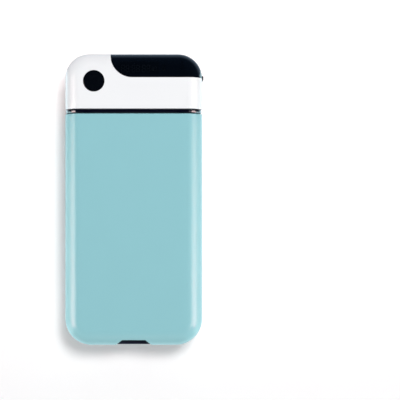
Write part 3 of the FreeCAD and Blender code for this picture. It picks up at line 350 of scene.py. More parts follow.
def circuit_board(name, hex_colour, trace_mm):
    """Solder mask over copper: thin, glossy, with long traces showing as paler lines."""
    material, tree, principled = new_material(name, Roughness=0.32, IOR=1.5)
    coords = {"Vector": add_node(tree, "ShaderNodeTexCoord").outputs["Object"]}
    traces = add_node(tree, "ShaderNodeTexBrick", None,
                      {"Scale": 1000 / trace_mm, "Brick Width": 14.0, "Row Height": 1.0,
                       "Mortar Size": 0.12, "Color1": linear(hex_colour),
                       "Color2": linear("1f5f3d"), "Mortar": linear("2f7a4e")}, coords)
    bump = add_node(tree, "ShaderNodeBump", inputs={"Strength": 0.4, "Distance": 0.03 * MM},
                    links={"Height": traces.outputs["Fac"]})
    tree.links.new(traces.outputs["Color"], principled.inputs["Base Color"])
    tree.links.new(bump.outputs["Normal"], principled.inputs["Normal"])
    return material


def clear_plastic(name):
    """Clear acrylic: it shows what lies behind it, with a bright rim."""
    material, tree, principled = new_material(name, Roughness=0.08, IOR=1.49,
                                              Transmission_Weight=0.9)
    mottle(tree, principled, "e8edf0", 0.01, 2.0)
    return material


def finishes():
    """Every finish by the record's slot name.

    A moulding has a colour, two ends of its roughness, and the spacing and depth of its grain in
    millimetres. A metal also says how its lines are stretched.
    """
    tone = colours()
    even, along_y, round_z = (1, 1, 1), (6.0, 0.5, 6.0), (1, 1, 6)
    lit_boxes = (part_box("display_module"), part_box("status_lights"))
    return {
        # satin mouldings: an even colour with long soft highlights along the edges
        "mint_abs": moulded("moulded_abs_mint", tone.sleeve, (0.26, 0.33), 0.5, 0.002,
                            tone.sleeve_shine),
        "white_abs": moulded("moulded_abs_white", tone.head, (0.2, 0.27), 0.5, 0.001),
        # deep black with a clear mirror image; the display shows through it faintly
        "smoked_window": smoked_window("smoked_acrylic", tone.window, lit_boxes),
        # near-black satin that holds no mirror image
        "black_gloss": polished_plastic("satin_abs_black", tone.controls, (0.2, 0.27), 0.0),
        # a polished dark band with short bright ends
        "collar_black": polished_plastic("polished_abs_collar", tone.collar, (0.06, 0.1), 0.7),
        # an eroded tool leaves the tray dull and finely grained; its navy is darkened to paint the
        # shade seen through the notch
        "navy_abs": moulded("moulded_abs_navy", tone.tray, (0.35, 0.45), 0.4, 0.004),
        # plating: bright, with a soft shine
        "bright_steel": worked_metal("zinc_plated_steel", "c9cbce", (0.22, 0.32), even, 0.8, 0.002),
        # brushed sheet: fine lines along the case, highlights drawn out across them
        "stamped_steel": worked_metal("brushed_stainless_steel", "b9bcc0", (0.26, 0.4), along_y,
                                      0.6, 0.004),
        # a casting is greyer and rougher than sheet
        "zinc_casting": worked_metal("die_cast_zinc", "9ea1a5", (0.45, 0.6), even, 0.35, 0.01),
        # milky and waxy
        "acetal": moulded("moulded_acetal", "e9e6da", (0.35, 0.45), 0.5, 0.002),
        # turned brass: yellow, with lines round the shaft
        "brass_pinion": worked_metal("turned_brass", "d9b36a", (0.2, 0.3), round_z, 0.4, 0.002),
        # traces drawn wider than real, to show through the mask
        "circuit_board": circuit_board("solder_masked_board", "1d5a3a", 0.6),
        # moulded epoxy: matt and sandy
        "chip_black": moulded("moulded_epoxy", "1c1d20", (0.5, 0.65), 0.15, 0.006),
        # hot tin: bright and slightly rippled
        "tinned_metal": worked_metal("tinned_copper", "d2d4d6", (0.2, 0.34), even, 0.5, 0.002),
        # fired ceramic: dull tan
        "capacitor_tan": moulded("sintered_ceramic", "b9935f", (0.4, 0.5), 0.2, 0.003),
        # glass-filled nylon: matt, with a fine even grain
        "switch_black": moulded("moulded_nylon_black", "202124", (0.45, 0.6), 0.3, 0.004),
        "switch_plunger": moulded("moulded_nylon_grey", "3a3b3e", (0.45, 0.6), 0.3, 0.004),
        "connector_cream": moulded("moulded_nylon_cream", "ded9c6", (0.45, 0.6), 0.3, 0.004),
        # pouch foil: satin, softly crumpled
        "cell_foil": worked_metal("laminate_pouch_foil", "c2c4c6", (0.3, 0.42), even, 2.5, 0.02),
        # foam: no gloss at all, fine cells
        "foam_grey": moulded("closed_cell_foam", "4a4c50", (0.85, 0.95), 0.5, 0.06),
        # soft vinyl: a slight shine along the wire
        "wire_red": moulded("pvc_insulation", "b3261e", (0.35, 0.45), 0.8, 0.002),
        # dark glass, with pale unlit figures under it
        "display_face": polished_plastic("display_glass", "14171c", (0.08, 0.14)),
        "segment_white": moulded("unlit_display_figures", "8f989c", (0.3, 0.4), 0.3, 0.001),
        "light_clear": clear_plastic("clear_light_pipe"),
        # lamp packages: off-white and satin
        "led_white": moulded("moulded_lamp_package", "e6e6d8", (0.3, 0.4), 0.3, 0.001),
    }


def finish_of(slot_name):
    """The finish that the CAD nodes of a slot wear."""
    for entry in frame["record"]["subparts"]:
        if entry["material_slot"] == slot_name:
            return frame["nodes"][entry["node"]].data.materials[0]
    raise RuntimeError("no node wears slot " + slot_name)


# ---- modelling by hand
# a face looks along an axis, or an edge runs along it, when its share on it is larger than this
LOOKS_ALONG = 0.9
RUNS_ALONG = 0.99


def select_only(*shapes):
    """Leaves edit mode and selects just these shapes, the first of them active."""
    active = bpy.context.view_layer.objects.active
    if active and active.mode == "EDIT":
        bpy.ops.object.mode_set(mode="OBJECT")
    bpy.ops.object.select_all(action="DESELECT")
    for shape in shapes:
        shape.select_set(True)
    if shapes:
        bpy.context.view_layer.objects.active = shapes[0]


def edit_all():
    """Edit mode, with the whole mesh selected."""
    bpy.ops.object.mode_set(mode="EDIT")
    bpy.ops.mesh.select_all(action="SELECT")


def settle():
    """Moves the active shape's place, turn and size into its mesh; returns the shape."""
    bpy.ops.object.transform_apply(location=True, rotation=True, scale=True)
    return bpy.context.object


def block(low_corner, high_corner):
    """A block between two corners."""
    select_only()
    reach = [b - a for a, b in zip(low_corner, high_corner)]
    bpy.ops.mesh.primitive_cube_add(size=1, location=middle((low_corner, high_corner)), scale=reach)
    return settle()


def drum(centre, radius, low_z, high_z, sides):
    """An upright drum between two heights."""
    select_only()
    bpy.ops.mesh.primitive_cylinder_add(vertices=sides, radius=radius, depth=high_z - low_z,
                                        location=(centre[X], centre[Y], (low_z + high_z) / 2))
    return settle()


def pick(shape, kind, test):
    """In edit mode, selects what passes a test of its middle and its normal or direction."""
    if shape.mode != "EDIT":
        bpy.ops.object.mode_set(mode="EDIT")
    bpy.ops.mesh.select_mode(type=kind)
    bpy.ops.mesh.select_all(action="DESELECT")
    mesh = bmesh.from_edit_mesh(shape.data)
    if kind == "FACE":
        parts = [(face, face.calc_center_median(), face.normal) for face in mesh.faces]
    else:
        ends = [(edge, *(v.co for v in edge.verts)) for edge in mesh.edges]
        parts = [(edge, (a + b) / 2, (b - a).normalized()) for edge, a, b in ends]
    found = [part for part, place, way in parts if test(place, way)]
    for part in found:
        part.select_set(True)
    if not found:
        raise RuntimeError("nothing to shape on " + shape.name)
    bmesh.update_edit_mesh(shape.data)


def facing(axis, sign):
    """Test for faces that look along an axis."""
    return lambda place, normal: normal[axis] * sign > LOOKS_ALONG


def running(axis, across=None, level=0.0, sign=1):
    """Test for edges that run along an axis, and lie past a level on a second one if given."""
    return lambda place, direction: (abs(direction[axis]) > RUNS_ALONG and
                                     (across is None or place[across] * sign > level * sign))


def off_axis(place, centre):
    """Distance from the upright axis through a centre."""
    return math.hypot(place.x - centre[X], place.y - centre[Y])


def lower_rim(centre, radius, level):
    """Test for the edges on the outside of a drum that lie under a level."""
    just_inside = radius * 0.98
    return lambda place, direction: place.z < level and off_axis(place, centre) > just_inside


def extrude(move):
    bpy.ops.mesh.extrude_region_move(TRANSFORM_OT_translate={"value": move})


def resize(share, about):
    bpy.ops.transform.resize(value=share, center_override=about)


def inset(width, depth=0.0):
    bpy.ops.mesh.inset(thickness=width, depth=depth)


def round_edges(shape, test, radius, segments):
    """Rounds the edges that pass a test."""
    pick(shape, "EDGE", test)
    bpy.ops.mesh.bevel(offset=radius, segments=segments)


def apply_modifier(shape, kind, **settings):
    """Adds a modifier with its settings and applies it."""
    select_only(shape)
    modifier = shape.modifiers.new(kind.lower(), kind)
    for key, value in settings.items():
        setattr(modifier, key, value)
    bpy.ops.object.modifier_apply(modifier=modifier.name)


def copy_piece(shape, move=(0, 0, 0), turn=0.0, axis="Z", about=(0, 0, 0)):
    """A copy with its own mesh, turned about a point and moved, with its place in its mesh."""
    select_only(shape)
    bpy.ops.object.duplicate(linked=False)
    if turn:
        edit_all()
        bpy.ops.transform.rotate(value=turn, orient_axis=axis, center_override=about)
        bpy.ops.object.mode_set(mode="OBJECT")
    bpy.ops.transform.translate(value=move)
    return settle()


def in_row(shape, step, count):
    """The shape and its copies, each one step further."""
    return [shape] + [copy_piece(shape, [c * k for c in step]) for k in range(1, count)]


def with_half_turn(shapes, about, axis="Z"):
    """The shapes, and their copies on the other side of a point."""
    return shapes + [copy_piece(shape, turn=math.pi, axis=axis, about=about) for shape in shapes]


def finish_piece(shapes, name, slot_name, material=None, angle=40, body="head_and_tray"):
    """Makes one piece of the shapes: smooths, names and colours it; it rides on its body.

    Without a material of its own it wears the finish of the CAD nodes of its slot.
    """
    select_only(*shapes)
    if len(shapes) > 1:
        bpy.ops.object.join()
    shape = shapes[0]
    edit_all()
    bpy.ops.mesh.remove_doubles(threshold=1e-7)
    bpy.ops.mesh.normals_make_consistent(inside=False)
    bpy.ops.object.mode_set(mode="OBJECT")
    bpy.ops.object.shade_smooth_by_angle(angle=math.radians(angle))
    shape.name = name
    shape.data.name = name
    shape.data.materials.clear()
    shape.data.materials.append(material or finish_of(slot_name))
    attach(shape, body)


def solder_bead(centre, board_face, radius, height):
    """A drop of solder under a board, hollow-sided from its wide foot to its tip."""
    foot = (*centre[:2], board_face)
    bead = drum(centre, radius, board_face - height / 2, board_face, 20)
    pick(bead, "FACE", facing(Z, -1))
    resize((0.62, 0.62, 1.0), foot)
    extrude((0, 0, -height / 2))
    resize((0.6, 0.6, 1.0), foot)
    bpy.ops.mesh.bevel(offset=0.05 * MM, segments=2)
    return bead


def gull_lead(face_x, y, board_face, shoulder, width, reach, thick):
    """A flat lead down the left side of a body, from its shoulder; it turns out along the board."""
    lead = block((face_x - thick, y - width / 2, board_face), (face_x, y + width / 2, shoulder))
    edit_all()
    bpy.ops.mesh.bisect(plane_co=(0, 0, board_face + thick), plane_no=(0, 0, 1))
    pick(lead, "FACE", lambda place, normal: (normal.x < -LOOKS_ALONG and
                                              place.z < board_face + thick))
    extrude((-reach, 0, 0))
    bend = thick * 0.3
    round_edges(lead, running(Y, Z, board_face + thick / 2), bend, 2)
    return lead


# ---- operators
class LOCKCASE_OT_finishes(bpy.types.Operator):
    """Gives every CAD node the finish that its slot in the record names."""
    bl_idname = "lock_case.finishes"
    bl_label = "Apply Finishes"

    def execute(self, context):
        by_slot = finishes()
        for entry in frame["record"]["subparts"]:
            node = frame["nodes"][entry["node"]]
            material = by_slot.get(entry["material_slot"])
            if material is None:
                raise RuntimeError("no finish for slot " + entry["material_slot"])
            node.data.materials.clear()
            node.data.materials.append(material)
        return {"FINISHED"}


# screws: node, the way the shank points, height of the head, radius of the shank
SCREWS = (
    ("case_screws", "y_up", 1.2 * MM, 1.0 * MM),
    ("front_board_screws", "z_up", 1.1 * MM, 0.7 * MM),
    ("main_board_screws", "z_down", 1.1 * MM, 0.7 * MM),
    ("lock_base_screws", "y_down", 1.1 * MM, 0.8 * MM),
)
SCREW_TURNS = {"y_up": -90, "y_down": 90, "z_up": 0, "z_down": 180}
STEPS_A_TURN = 20
BARE_TURNS = 2.5                # of the shank, at its two ends together
RUN_OUT = 0.98                  # share of the shank's radius to which the thread's ends sink


class LOCKCASE_OT_screw_threads(bpy.types.Operator):
    """Winds a rolled thread round the shank of every screw."""
    bl_idname = "lock_case.screw_threads"
    bl_label = "Screw Threads"

    def execute(self, context):
        size = sizes()
        for node, heading, head_height, shank in SCREWS:
            axis = Y if heading[0] == "y" else Z
            boxes = solid_boxes(node)
            seats = [middle(box) for box in boxes]
            for seat, (low_corner, high_corner) in zip(seats, boxes):
                seat[axis] = (low_corner[axis] + head_height if heading.endswith("up")
                              else high_corner[axis] - head_height)
            length = boxes[0][1][axis] - boxes[0][0][axis] - head_height
            first = self.thread(size.thread_pitch, size.thread_height, shank, length)
            first.rotation_euler = (math.radians(SCREW_TURNS[heading]), 0, 0)
            first.location = seats[0]
            settle()
            threads = [first] + [copy_piece(first, [a - b for a, b in zip(seat, seats[0])])
                                 for seat in seats[1:]]
            for k, shape in enumerate(threads):
                name = "{}_thread_{}".format(node.replace("_screws", ""), k + 1)
                finish_piece([shape], name, "bright_steel")
        return {"FINISHED"}

    def thread(self, pitch, height, shank, length):
        """A ridge wound up a shank that stands on the origin; its ends run out into the shank."""
        select_only()
        bpy.ops.mesh.primitive_circle_add(vertices=3, radius=height, location=(shank, 0, pitch),
                                          rotation=(math.pi / 2, math.pi / 2, 0))
        ridge = settle()
        turns = int((length - BARE_TURNS * pitch) / pitch)
        apply_modifier(ridge, "SCREW", axis="Z", screw_offset=pitch, iterations=turns,
                       steps=STEPS_A_TURN, render_steps=STEPS_A_TURN, use_merge_vertices=False)
        bpy.ops.object.mode_set(mode="EDIT")
        bpy.ops.mesh.select_all(action="DESELECT")
        bpy.ops.mesh.select_mode(type="EDGE")
        bpy.ops.mesh.select_non_manifold()
        bpy.ops.mesh.fill_holes(sides=0)
        pick(ridge, "FACE", lambda place, normal: (abs(normal.y) > LOOKS_ALONG and
                                                   abs(place.y) < height / 2))
        resize((RUN_OUT - height / shank, 1.0, 1.0), (0, 0, 0))
        bpy.ops.object.mode_set(mode="OBJECT")
        return ridge


class LOCKCASE_OT_socket_contacts(bpy.types.Operator):
    """Lays the gilded contact strips on both faces of the charging socket's tongue."""
    bl_idname = "lock_case.socket_contacts"
    bl_label = "Socket Contacts"

    def execute(self, context):
        size = sizes()
        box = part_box("socket_tongue")
        centre = middle(box)
        face = box[1][Z]
        tip = box[0][X] + 0.35 * MM
        half = size.contact_width / 2
        start = centre[Y] - size.contact_pitch * (size.contact_count - 1) / 2
        strip = block((tip, start - half, face - 0.03 * MM),
                      (box[1][X] - 0.9 * MM, start + half, face + 0.05 * MM))
        pick(strip, "FACE", facing(X, -1))
        extrude((-0.12 * MM, 0, -0.04 * MM))
        resize((1.0, 0.6, 0.3), (tip, start, face - 0.01 * MM))
        pick(strip, "FACE", facing(X, 1))
        extrude((0.5 * MM, 0, 0))
        round_edges(strip, running(X, Z, face), 0.02 * MM, 2)
        strips = in_row(strip, (0, size.contact_pitch, 0), size.contact_count)
        # gilding: warm and bright, with hardly a grain
        gilt = worked_metal("gold_plated_bronze", "e6bf5c", (0.18, 0.3), (1, 1, 1), 0.3, 0.001)
        finish_piece(with_half_turn(strips, centre, "X"), "socket_contacts", "brass_pinion", gilt)
        return {"FINISHED"}


class LOCKCASE_OT_socket_legs(bpy.types.Operator):
    """Stands the socket's shell on four legs through the board, each with its solder."""
    bl_idname = "lock_case.socket_legs"
    bl_label = "Socket Legs"

    def execute(self, context):
        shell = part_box("socket_shell")
        board_face = low("main_board", Z)
        leg_x = shell[0][X] + 1.7 * MM
        half = 0.55 * MM
        wall = 0.25 * MM
        sunk = 0.02 * MM
        outside = shell[0][Y] + sunk
        leg = block((leg_x - half, outside, board_face - 0.25 * MM),
                    (leg_x + half, outside + wall, middle(shell)[Z]))
        pick(leg, "FACE", facing(Z, -1))
        resize((0.6, 1.0, 1.0), (leg_x, outside, 0))
        round_edges(leg, running(Z), 0.06 * MM, 2)
        bead = solder_bead((leg_x, shell[0][Y] + wall / 2), board_face, 0.75 * MM, 0.3 * MM)
        along = shell[1][X] - shell[0][X] - 3.1 * MM
        across = shell[1][Y] - shell[0][Y] - wall
        for shape, step, name, slot_name in (
                (leg, across - 2 * sunk, "socket_shell_legs", "stamped_steel"),
                (bead, across, "socket_solder", "tinned_metal")):
            row = in_row(shape, (along, 0, 0), 2)
            row += [copy_piece(twin, (0, step, 0)) for twin in row]
            finish_piece(row, name, slot_name)
        return {"FINISHED"}


class LOCKCASE_OT_link_solder(bpy.types.Operator):
    """Solders the pins of the board-to-board link under the main board."""
    bl_idname = "lock_case.link_solder"
    bl_label = "Link Solder"

    def execute(self, context):
        pins = [middle(box) for box in solid_boxes("link_pins")]
        bead = solder_bead(pins[0], low("main_board", Z), 0.6 * MM, 0.45 * MM)
        beads = [bead] + [copy_piece(bead, (pin[X] - pins[0][X], 0, 0)) for pin in pins[1:]]
        finish_piece(beads, "link_solder", "tinned_metal")
        return {"FINISHED"}


class LOCKCASE_OT_capacitor_ends(bpy.types.Operator):
    """Caps both ends of every capacitor with its tinned terminal."""
    bl_idname = "lock_case.capacitor_ends"
    bl_label = "Capacitor Ends"

    def execute(self, context):
        boxes = solid_boxes("board_capacitors")
        reach = 0.34 * MM
        skin = 0.03 * MM
        if not self.lies_across(boxes[0]):
            raise RuntimeError("the first capacitor should lie across the case")
        foot, top = boxes[0]
        cap = block((foot[X] - skin, foot[Y] - skin, foot[Z]),
                    (foot[X] + reach, top[Y] + skin, top[Z] + skin))
        round_edges(cap, lambda place, direction: (place.x < foot[X] and place.z > foot[Z] + skin),
                    0.08 * MM, 3)
        round_edges(cap, running(X, Z, top[Z]), 0.05 * MM, 2)
        centre = middle(boxes[0])
        caps = []
        for box in boxes:
            move = [a - b for a, b in zip(middle(box), centre)]
            turns = (0.0, math.pi) if self.lies_across(box) else (math.pi / 2, -math.pi / 2)
            caps += [copy_piece(cap, move, turn, "Z", centre) for turn in turns]
        bpy.data.objects.remove(cap)
        finish_piece(caps, "capacitor_ends", "tinned_metal")
        return {"FINISHED"}

    def lies_across(self, box):
        return box[1][X] - box[0][X] > box[1][Y] - box[0][Y]


class LOCKCASE_OT_inductor_clips(bpy.types.Operator):
    """Adds the inductor's two folded terminals and the pressed disc of its core."""
    bl_idname = "lock_case.inductor_clips"
    bl_label = "Inductor Clips"

    def execute(self, context):
        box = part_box("power_inductor")
        centre = middle(box)
        board_face = high("main_board", Z)
        clip = gull_lead(box[0][X], centre[Y], board_face, board_face + 1.3 * MM,
                         width=2.2 * MM, reach=0.45 * MM, thick=0.14 * MM)
        finish_piece(with_half_turn([clip], centre), "inductor_clips", "tinned_metal")
        disc = drum(centre, 1.5 * MM, box[1][Z] - 0.1 * MM, box[1][Z] + 0.05 * MM, 40)
        pick(disc, "FACE", facing(Z, 1))
        inset(0.25 * MM, -0.06 * MM)
        inset(0.5 * MM)
        finish_piece([disc], "inductor_core", "chip_black", angle=30)
        return {"FINISHED"}


class LOCKCASE_OT_battery_wrap(bpy.types.Operator):
    """Folds the cell's side seams and wraps its lead end in tape."""
    bl_idname = "lock_case.battery_wrap"
    bl_label = "Battery Wrap"

    def execute(self, context):
        size = sizes()
        foot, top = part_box("battery")
        centre = middle((foot, top))
        skin = 0.05 * MM
        tape_foot = top[X] - size.tape_width
        seam = block((foot[X] + 1.5 * MM, foot[Y] - 0.22 * MM, centre[Z] - 0.4 * MM),
                     (tape_foot - 0.3 * MM, foot[Y] + 0.05 * MM, centre[Z] + 1.6 * MM))
        pick(seam, "FACE", facing(Y, -1))
        inset(0.3 * MM, -0.08 * MM)
        round_edges(seam, running(X, Y, foot[Y] - 0.2 * MM, -1), 0.07 * MM, 2)
        finish_piece(with_half_turn([seam], centre, "X"), "battery_seams", "cell_foil")
        tape = block((tape_foot, foot[Y] - skin, foot[Z] - skin), [c + skin for c in top])
        round_edges(tape, running(X), size.cell_round + skin, 6)
        pick(tape, "FACE", facing(X, -1))
        bpy.ops.mesh.delete(type="FACE")
        bpy.ops.mesh.select_all(action="SELECT")
        bpy.ops.mesh.normals_make_consistent(inside=False)
        apply_modifier(tape, "SOLIDIFY", thickness=skin, offset=-1.0)
        # amber film: a soft shine with slow wrinkles
        amber = moulded("polyimide_tape", "b07a2a", (0.3, 0.4), 1.5, 0.01)
        finish_piece([tape], "battery_tape", "wire_red", amber, 30)
        return {"FINISHED"}


class LOCKCASE_OT_motor_end(bpy.types.Operator):
    """Closes the lock motor with its nylon end cap and stands its two terminals on the board."""
    bl_idname = "lock_case.motor_end"
    bl_label = "Motor End"

    def execute(self, context):
        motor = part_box("lock_motor")
        centre = middle(motor)
        foot = motor[0][Z]
        radius = (motor[1][X] - motor[0][X]) / 2 - 0.6 * MM
        cap = drum(centre, radius, foot - 0.3 * MM, foot + 0.05 * MM, 48)
        pick(cap, "FACE", facing(Z, -1))
        inset(0.7 * MM)
        inset(0.08 * MM, 0.12 * MM)
        round_edges(cap, lower_rim(centre, radius, foot - 0.29 * MM), 0.1 * MM, 3)
        finish_piece([cap], "motor_end_cap", "switch_black", angle=35)
        lead = gull_lead(centre[X] - radius + 0.4 * MM, centre[Y], high("main_board", Z), foot,
                         width=0.8 * MM, reach=1.1 * MM, thick=0.12 * MM)
        finish_piece(with_half_turn([lead], centre), "motor_terminals", "tinned_metal")
        return {"FINISHED"}


class LOCKCASE_OT_button_switch(bpy.types.Operator):
    """Crimps the steel plate on the button's switch and gives the switch its four leads."""
    bl_idname = "lock_case.button_switch"
    bl_label = "Button Switch"

    def execute(self, context):
        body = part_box("front_switch_body")
        centre = middle(body)
        foot = body[0][Z]
        top = body[1][Z]
        rim = 0.15 * MM
        thick = 0.1 * MM
        plate = block((body[0][X] + rim, body[0][Y] + rim, top - thick / 2),
                      (body[1][X] - rim, body[1][Y] - rim, top + thick))
        round_edges(plate, running(Z), 0.7 * MM, 5)
        hole = drum(centre, 2.55 * MM, top - 1 * MM, top + 1 * MM, 48)
        apply_modifier(plate, "BOOLEAN", object=hole, operation="DIFFERENCE", solver="EXACT")
        bpy.data.objects.remove(hole)
        reach = (body[1][X] - body[0][X]) / 2 - 0.55 * MM
        rivet = drum((centre[X] - reach, centre[Y] - reach), 0.3 * MM, top, top + 0.22 * MM, 16)
        round_edges(rivet, lambda place, direction: place.z > top + 0.2 * MM, 0.1 * MM, 3)
        rivets = in_row(rivet, (2 * reach, 0, 0), 2)
        rivets += [copy_piece(shape, (0, 2 * reach, 0)) for shape in rivets]
        finish_piece([plate], "button_switch_plate", "stamped_steel", angle=30)
        finish_piece(rivets, "button_switch_rivets", "switch_black")
        spread = 2.2 * MM
        lead = gull_lead(body[0][X], centre[Y] - spread, foot, foot + 1.0 * MM,
                         width=0.7 * MM, reach=0.7 * MM, thick=0.15 * MM)
        leads = with_half_turn(in_row(lead, (0, 2 * spread, 0), 2), centre)
        finish_piece(leads, "button_switch_leads", "tinned_metal")
        return {"FINISHED"}


class LOCKCASE_OT_small_switches(bpy.types.Operator):
    """Gives the closure switch and the side key's switch their leads on the front board."""
    bl_idname = "lock_case.small_switches"
    bl_label = "Small Switches"

    def execute(self, context):
        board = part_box("front_board")
        face = board[1][Z]
        pitch = 1.5 * MM
        for node, count, name, below in (
                ("closure_switch", 3, "closure_switch_leads", False),
                ("side_switch_body", 2, "side_switch_leads", True)):
            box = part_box(node)
            centre = middle(box)
            lead = gull_lead(box[0][X], centre[Y] - pitch * (count - 1) / 2, face, face + 1.2 * MM,
                             width=0.6 * MM, reach=0.8 * MM, thick=0.15 * MM)
            leads = in_row(lead, (0, pitch, 0), count)
            if below:
                leads = with_half_turn(leads, (0, centre[Y], middle(board)[Z]), "X")
                for shape in leads[:count]:
                    bpy.data.objects.remove(shape)
            finish_piece(leads[-count:], name, "tinned_metal")
        return {"FINISHED"}


class LOCKCASE_OT_buzzer_rim(bpy.types.Operator):
    """Seats the buzzer's stepped rim round its sound hole and solders its two pins."""
    bl_idname = "lock_case.buzzer_rim"
    bl_label = "Buzzer Rim"

    def execute(self, context):
        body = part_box("buzzer")
        centre = middle(body)
        foot = body[0][Z]
        radius = 2.0 * MM
        hole = 1.02 * MM
        rim = drum(centre, radius, foot - 0.25 * MM, foot + 0.1 * MM, 40)
        for sign in (-1, 1):
            pick(rim, "FACE", facing(Z, sign))
            inset(radius - hole)
        pick(rim, "FACE", lambda place, normal: (abs(normal.z) > LOOKS_ALONG and
                                                 off_axis(place, centre) < 0.1 * MM))
        bpy.ops.mesh.bridge_edge_loops()
        round_edges(rim, lower_rim(centre, radius, foot - 0.24 * MM), 0.1 * MM, 3)
        finish_piece([rim], "buzzer_rim", "chip_black", angle=35)
        board_face = high("main_board", Z)
        bead = solder_bead((centre[X] - 2.5 * MM, centre[Y]), board_face, 0.6 * MM, 0.4 * MM)
        above = copy_piece(bead, turn=math.pi, axis="X", about=(0, centre[Y], board_face))
        bpy.data.objects.remove(bead)
        finish_piece(in_row(above, (5.0 * MM, 0, 0), 2), "buzzer_solder", "tinned_metal")
        return {"FINISHED"}


class LOCKCASE_OT_display_ribbon(bpy.types.Operator):
    """Leads the display's flat ribbon down to its pads on the front board."""
    bl_idname = "lock_case.display_ribbon"
    bl_label = "Display Ribbon"

    def execute(self, context):
        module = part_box("display_module")
        edge = module[0][Y]
        board_face = high("front_board", Z)
        half = 3.0 * MM
        centre_x = module[0][X] + 8.0 * MM
        thick = 0.1 * MM
        level = board_face + 0.9 * MM
        ribbon = block((centre_x - half, edge - 0.4 * MM, level),
                       (centre_x + half, edge + 0.3 * MM, level + thick))
        pick(ribbon, "FACE", facing(Y, -1))
        for step_y, step_z in ((-0.35, -0.1), (-0.3, -0.3), (-0.3, -0.35), (-0.35, -0.13),
                               (-0.8, 0.0)):
            extrude((0, step_y * MM, step_z * MM))
        round_edges(ribbon, running(Z, Y, edge - 2.4 * MM, -1), 0.4 * MM, 4)
        # amber film: a soft even shine
        amber = moulded("polyimide_ribbon", "a8702a", (0.25, 0.35), 2.0, 0.004)
        finish_piece([ribbon], "display_ribbon", "circuit_board", amber, 50)
        count = 10
        pitch = 0.5 * MM
        pad_x = centre_x - pitch * (count - 1) / 2
        pad_y = edge - 2.3 * MM
        pad = block((pad_x - 0.13 * MM, pad_y - 0.55 * MM, board_face),
                    (pad_x + 0.13 * MM, pad_y, board_face + thick + 0.04 * MM))
        pick(pad, "FACE", facing(Z, 1))
        resize((0.7, 0.8, 1.0), (pad_x, pad_y - 0.27 * MM, board_face))
        bpy.ops.mesh.bevel(offset=0.03 * MM, segments=2)
        finish_piece(in_row(pad, (pitch, 0, 0), count), "ribbon_joints", "tinned_metal")
        return {"FINISHED"}


# ---- studio
def turn_to(place, target):
    """The turn that points a lamp's or a panel's front from its place to its target."""
    return (Vector(target) - Vector(place)).to_track_quat("-Z", "Y")


def diffuse_lamp(name, place, side, power):
    """Square soft box over the case that shows in diffuse light only."""
    data = bpy.data.lights.new(name, "AREA")
    data.shape = "SQUARE"
    data.size = side
    data.energy = power
    lamp = bpy.data.objects.new(name, data)
    bpy.context.scene.collection.objects.link(lamp)
    lamp.location = place
    lamp.rotation_mode = "QUATERNION"
    lamp.rotation_quaternion = turn_to(place, (0, 0, 0))
    lamp.visible_glossy = False
    lamp.visible_camera = False


def stage_sheet(name, place, turn, width, height, hex_colour, radiance):
    """Flat sheet that only gloss sees: it glows and lets the rest through, or is a black flag."""
    select_only()
    bpy.ops.mesh.primitive_plane_add(size=1, location=place, rotation=turn)
    bpy.context.object.scale = (width, height, 1)
    sheet = settle()
    sheet.name = name
    material = bpy.data.materials.new(name)
    material.use_nodes = True
    material.cycles.emission_sampling = "NONE"
    tree = material.node_tree
    tree.nodes.remove(tree.nodes["Principled BSDF"])
    glow = add_node(tree, "ShaderNodeEmission", None,
                    {"Color": linear(hex_colour), "Strength": radiance})
    if radiance:
        behind = add_node(tree, "ShaderNodeBsdfTransparent")
        glow = add_node(tree, "ShaderNodeAddShader", None, None,
                        {0: glow.outputs[0], 1: behind.outputs[0]})
    tree.links.new(glow.outputs[0], tree.nodes["Material Output"].inputs["Surface"])
    sheet.data.materials.append(material)
    sheet.visible_camera = sheet.visible_diffuse = sheet.visible_shadow = False
    sheet.visible_transmission = sheet.visible_volume_scatter = False


def studio_world():
    """Even white tent for diffuse light; gloss sees a slate room, dark overhead and pale below."""
    world = bpy.data.worlds.new("studio")
    world.use_nodes = True
    tree = world.node_tree
    tent = tree.nodes["Background"]
    tent.inputs["Strength"].default_value = TENT_LEVEL
    coords = add_node(tree, "ShaderNodeTexCoord")
    height = add_node(tree, "ShaderNodeSeparateXYZ", links={"Vector": coords.outputs["Generated"]})
    whole = {"From Min": -1.0, "From Max": 1.0}
    along = add_node(tree, "ShaderNodeMapRange", None, whole, {"Value": height.outputs["Y"]})
    wall = add_node(tree, "ShaderNodeValToRGB", links={"Fac": along.outputs["Result"]})
    wall.color_ramp.elements[0].color = dimmed("ffffff", TENT_FOOT)
    wall.color_ramp.elements[1].color = dimmed(*TENT_HEAD)
    tree.links.new(wall.outputs["Color"], tent.inputs["Color"])
    place = add_node(tree, "ShaderNodeMapRange", None, whole, {"Value": height.outputs["Z"]})
    ramp = add_node(tree, "ShaderNodeValToRGB", links={"Fac": place.outputs["Result"]})
    stops = ramp.color_ramp.elements
    while len(stops) < len(ROOM_LEVELS):
        stops.new(0.5)
    for stop, (position, hex_colour, level) in zip(stops, ROOM_LEVELS):
        stop.position = position
        stop.color = dimmed(hex_colour, level)
    room = add_node(tree, "ShaderNodeBackground", links={"Color": ramp.outputs["Color"]})
    path = add_node(tree, "ShaderNodeLightPath")
    sweep = add_node(tree, "ShaderNodeBackground", inputs={"Color": (1, 1, 1, 1)})
    lit = add_node(tree, "ShaderNodeMixShader", None, None,
                   {0: path.outputs["Is Glossy Ray"], 1: tent.outputs[0], 2: room.outputs[0]})
    seen = add_node(tree, "ShaderNodeMixShader", None, None,
                    {0: path.outputs["Is Camera Ray"], 1: lit.outputs[0], 2: sweep.outputs[0]})
    tree.links.new(seen.outputs["Shader"], tree.nodes["World Output"].inputs["Surface"])
    return world


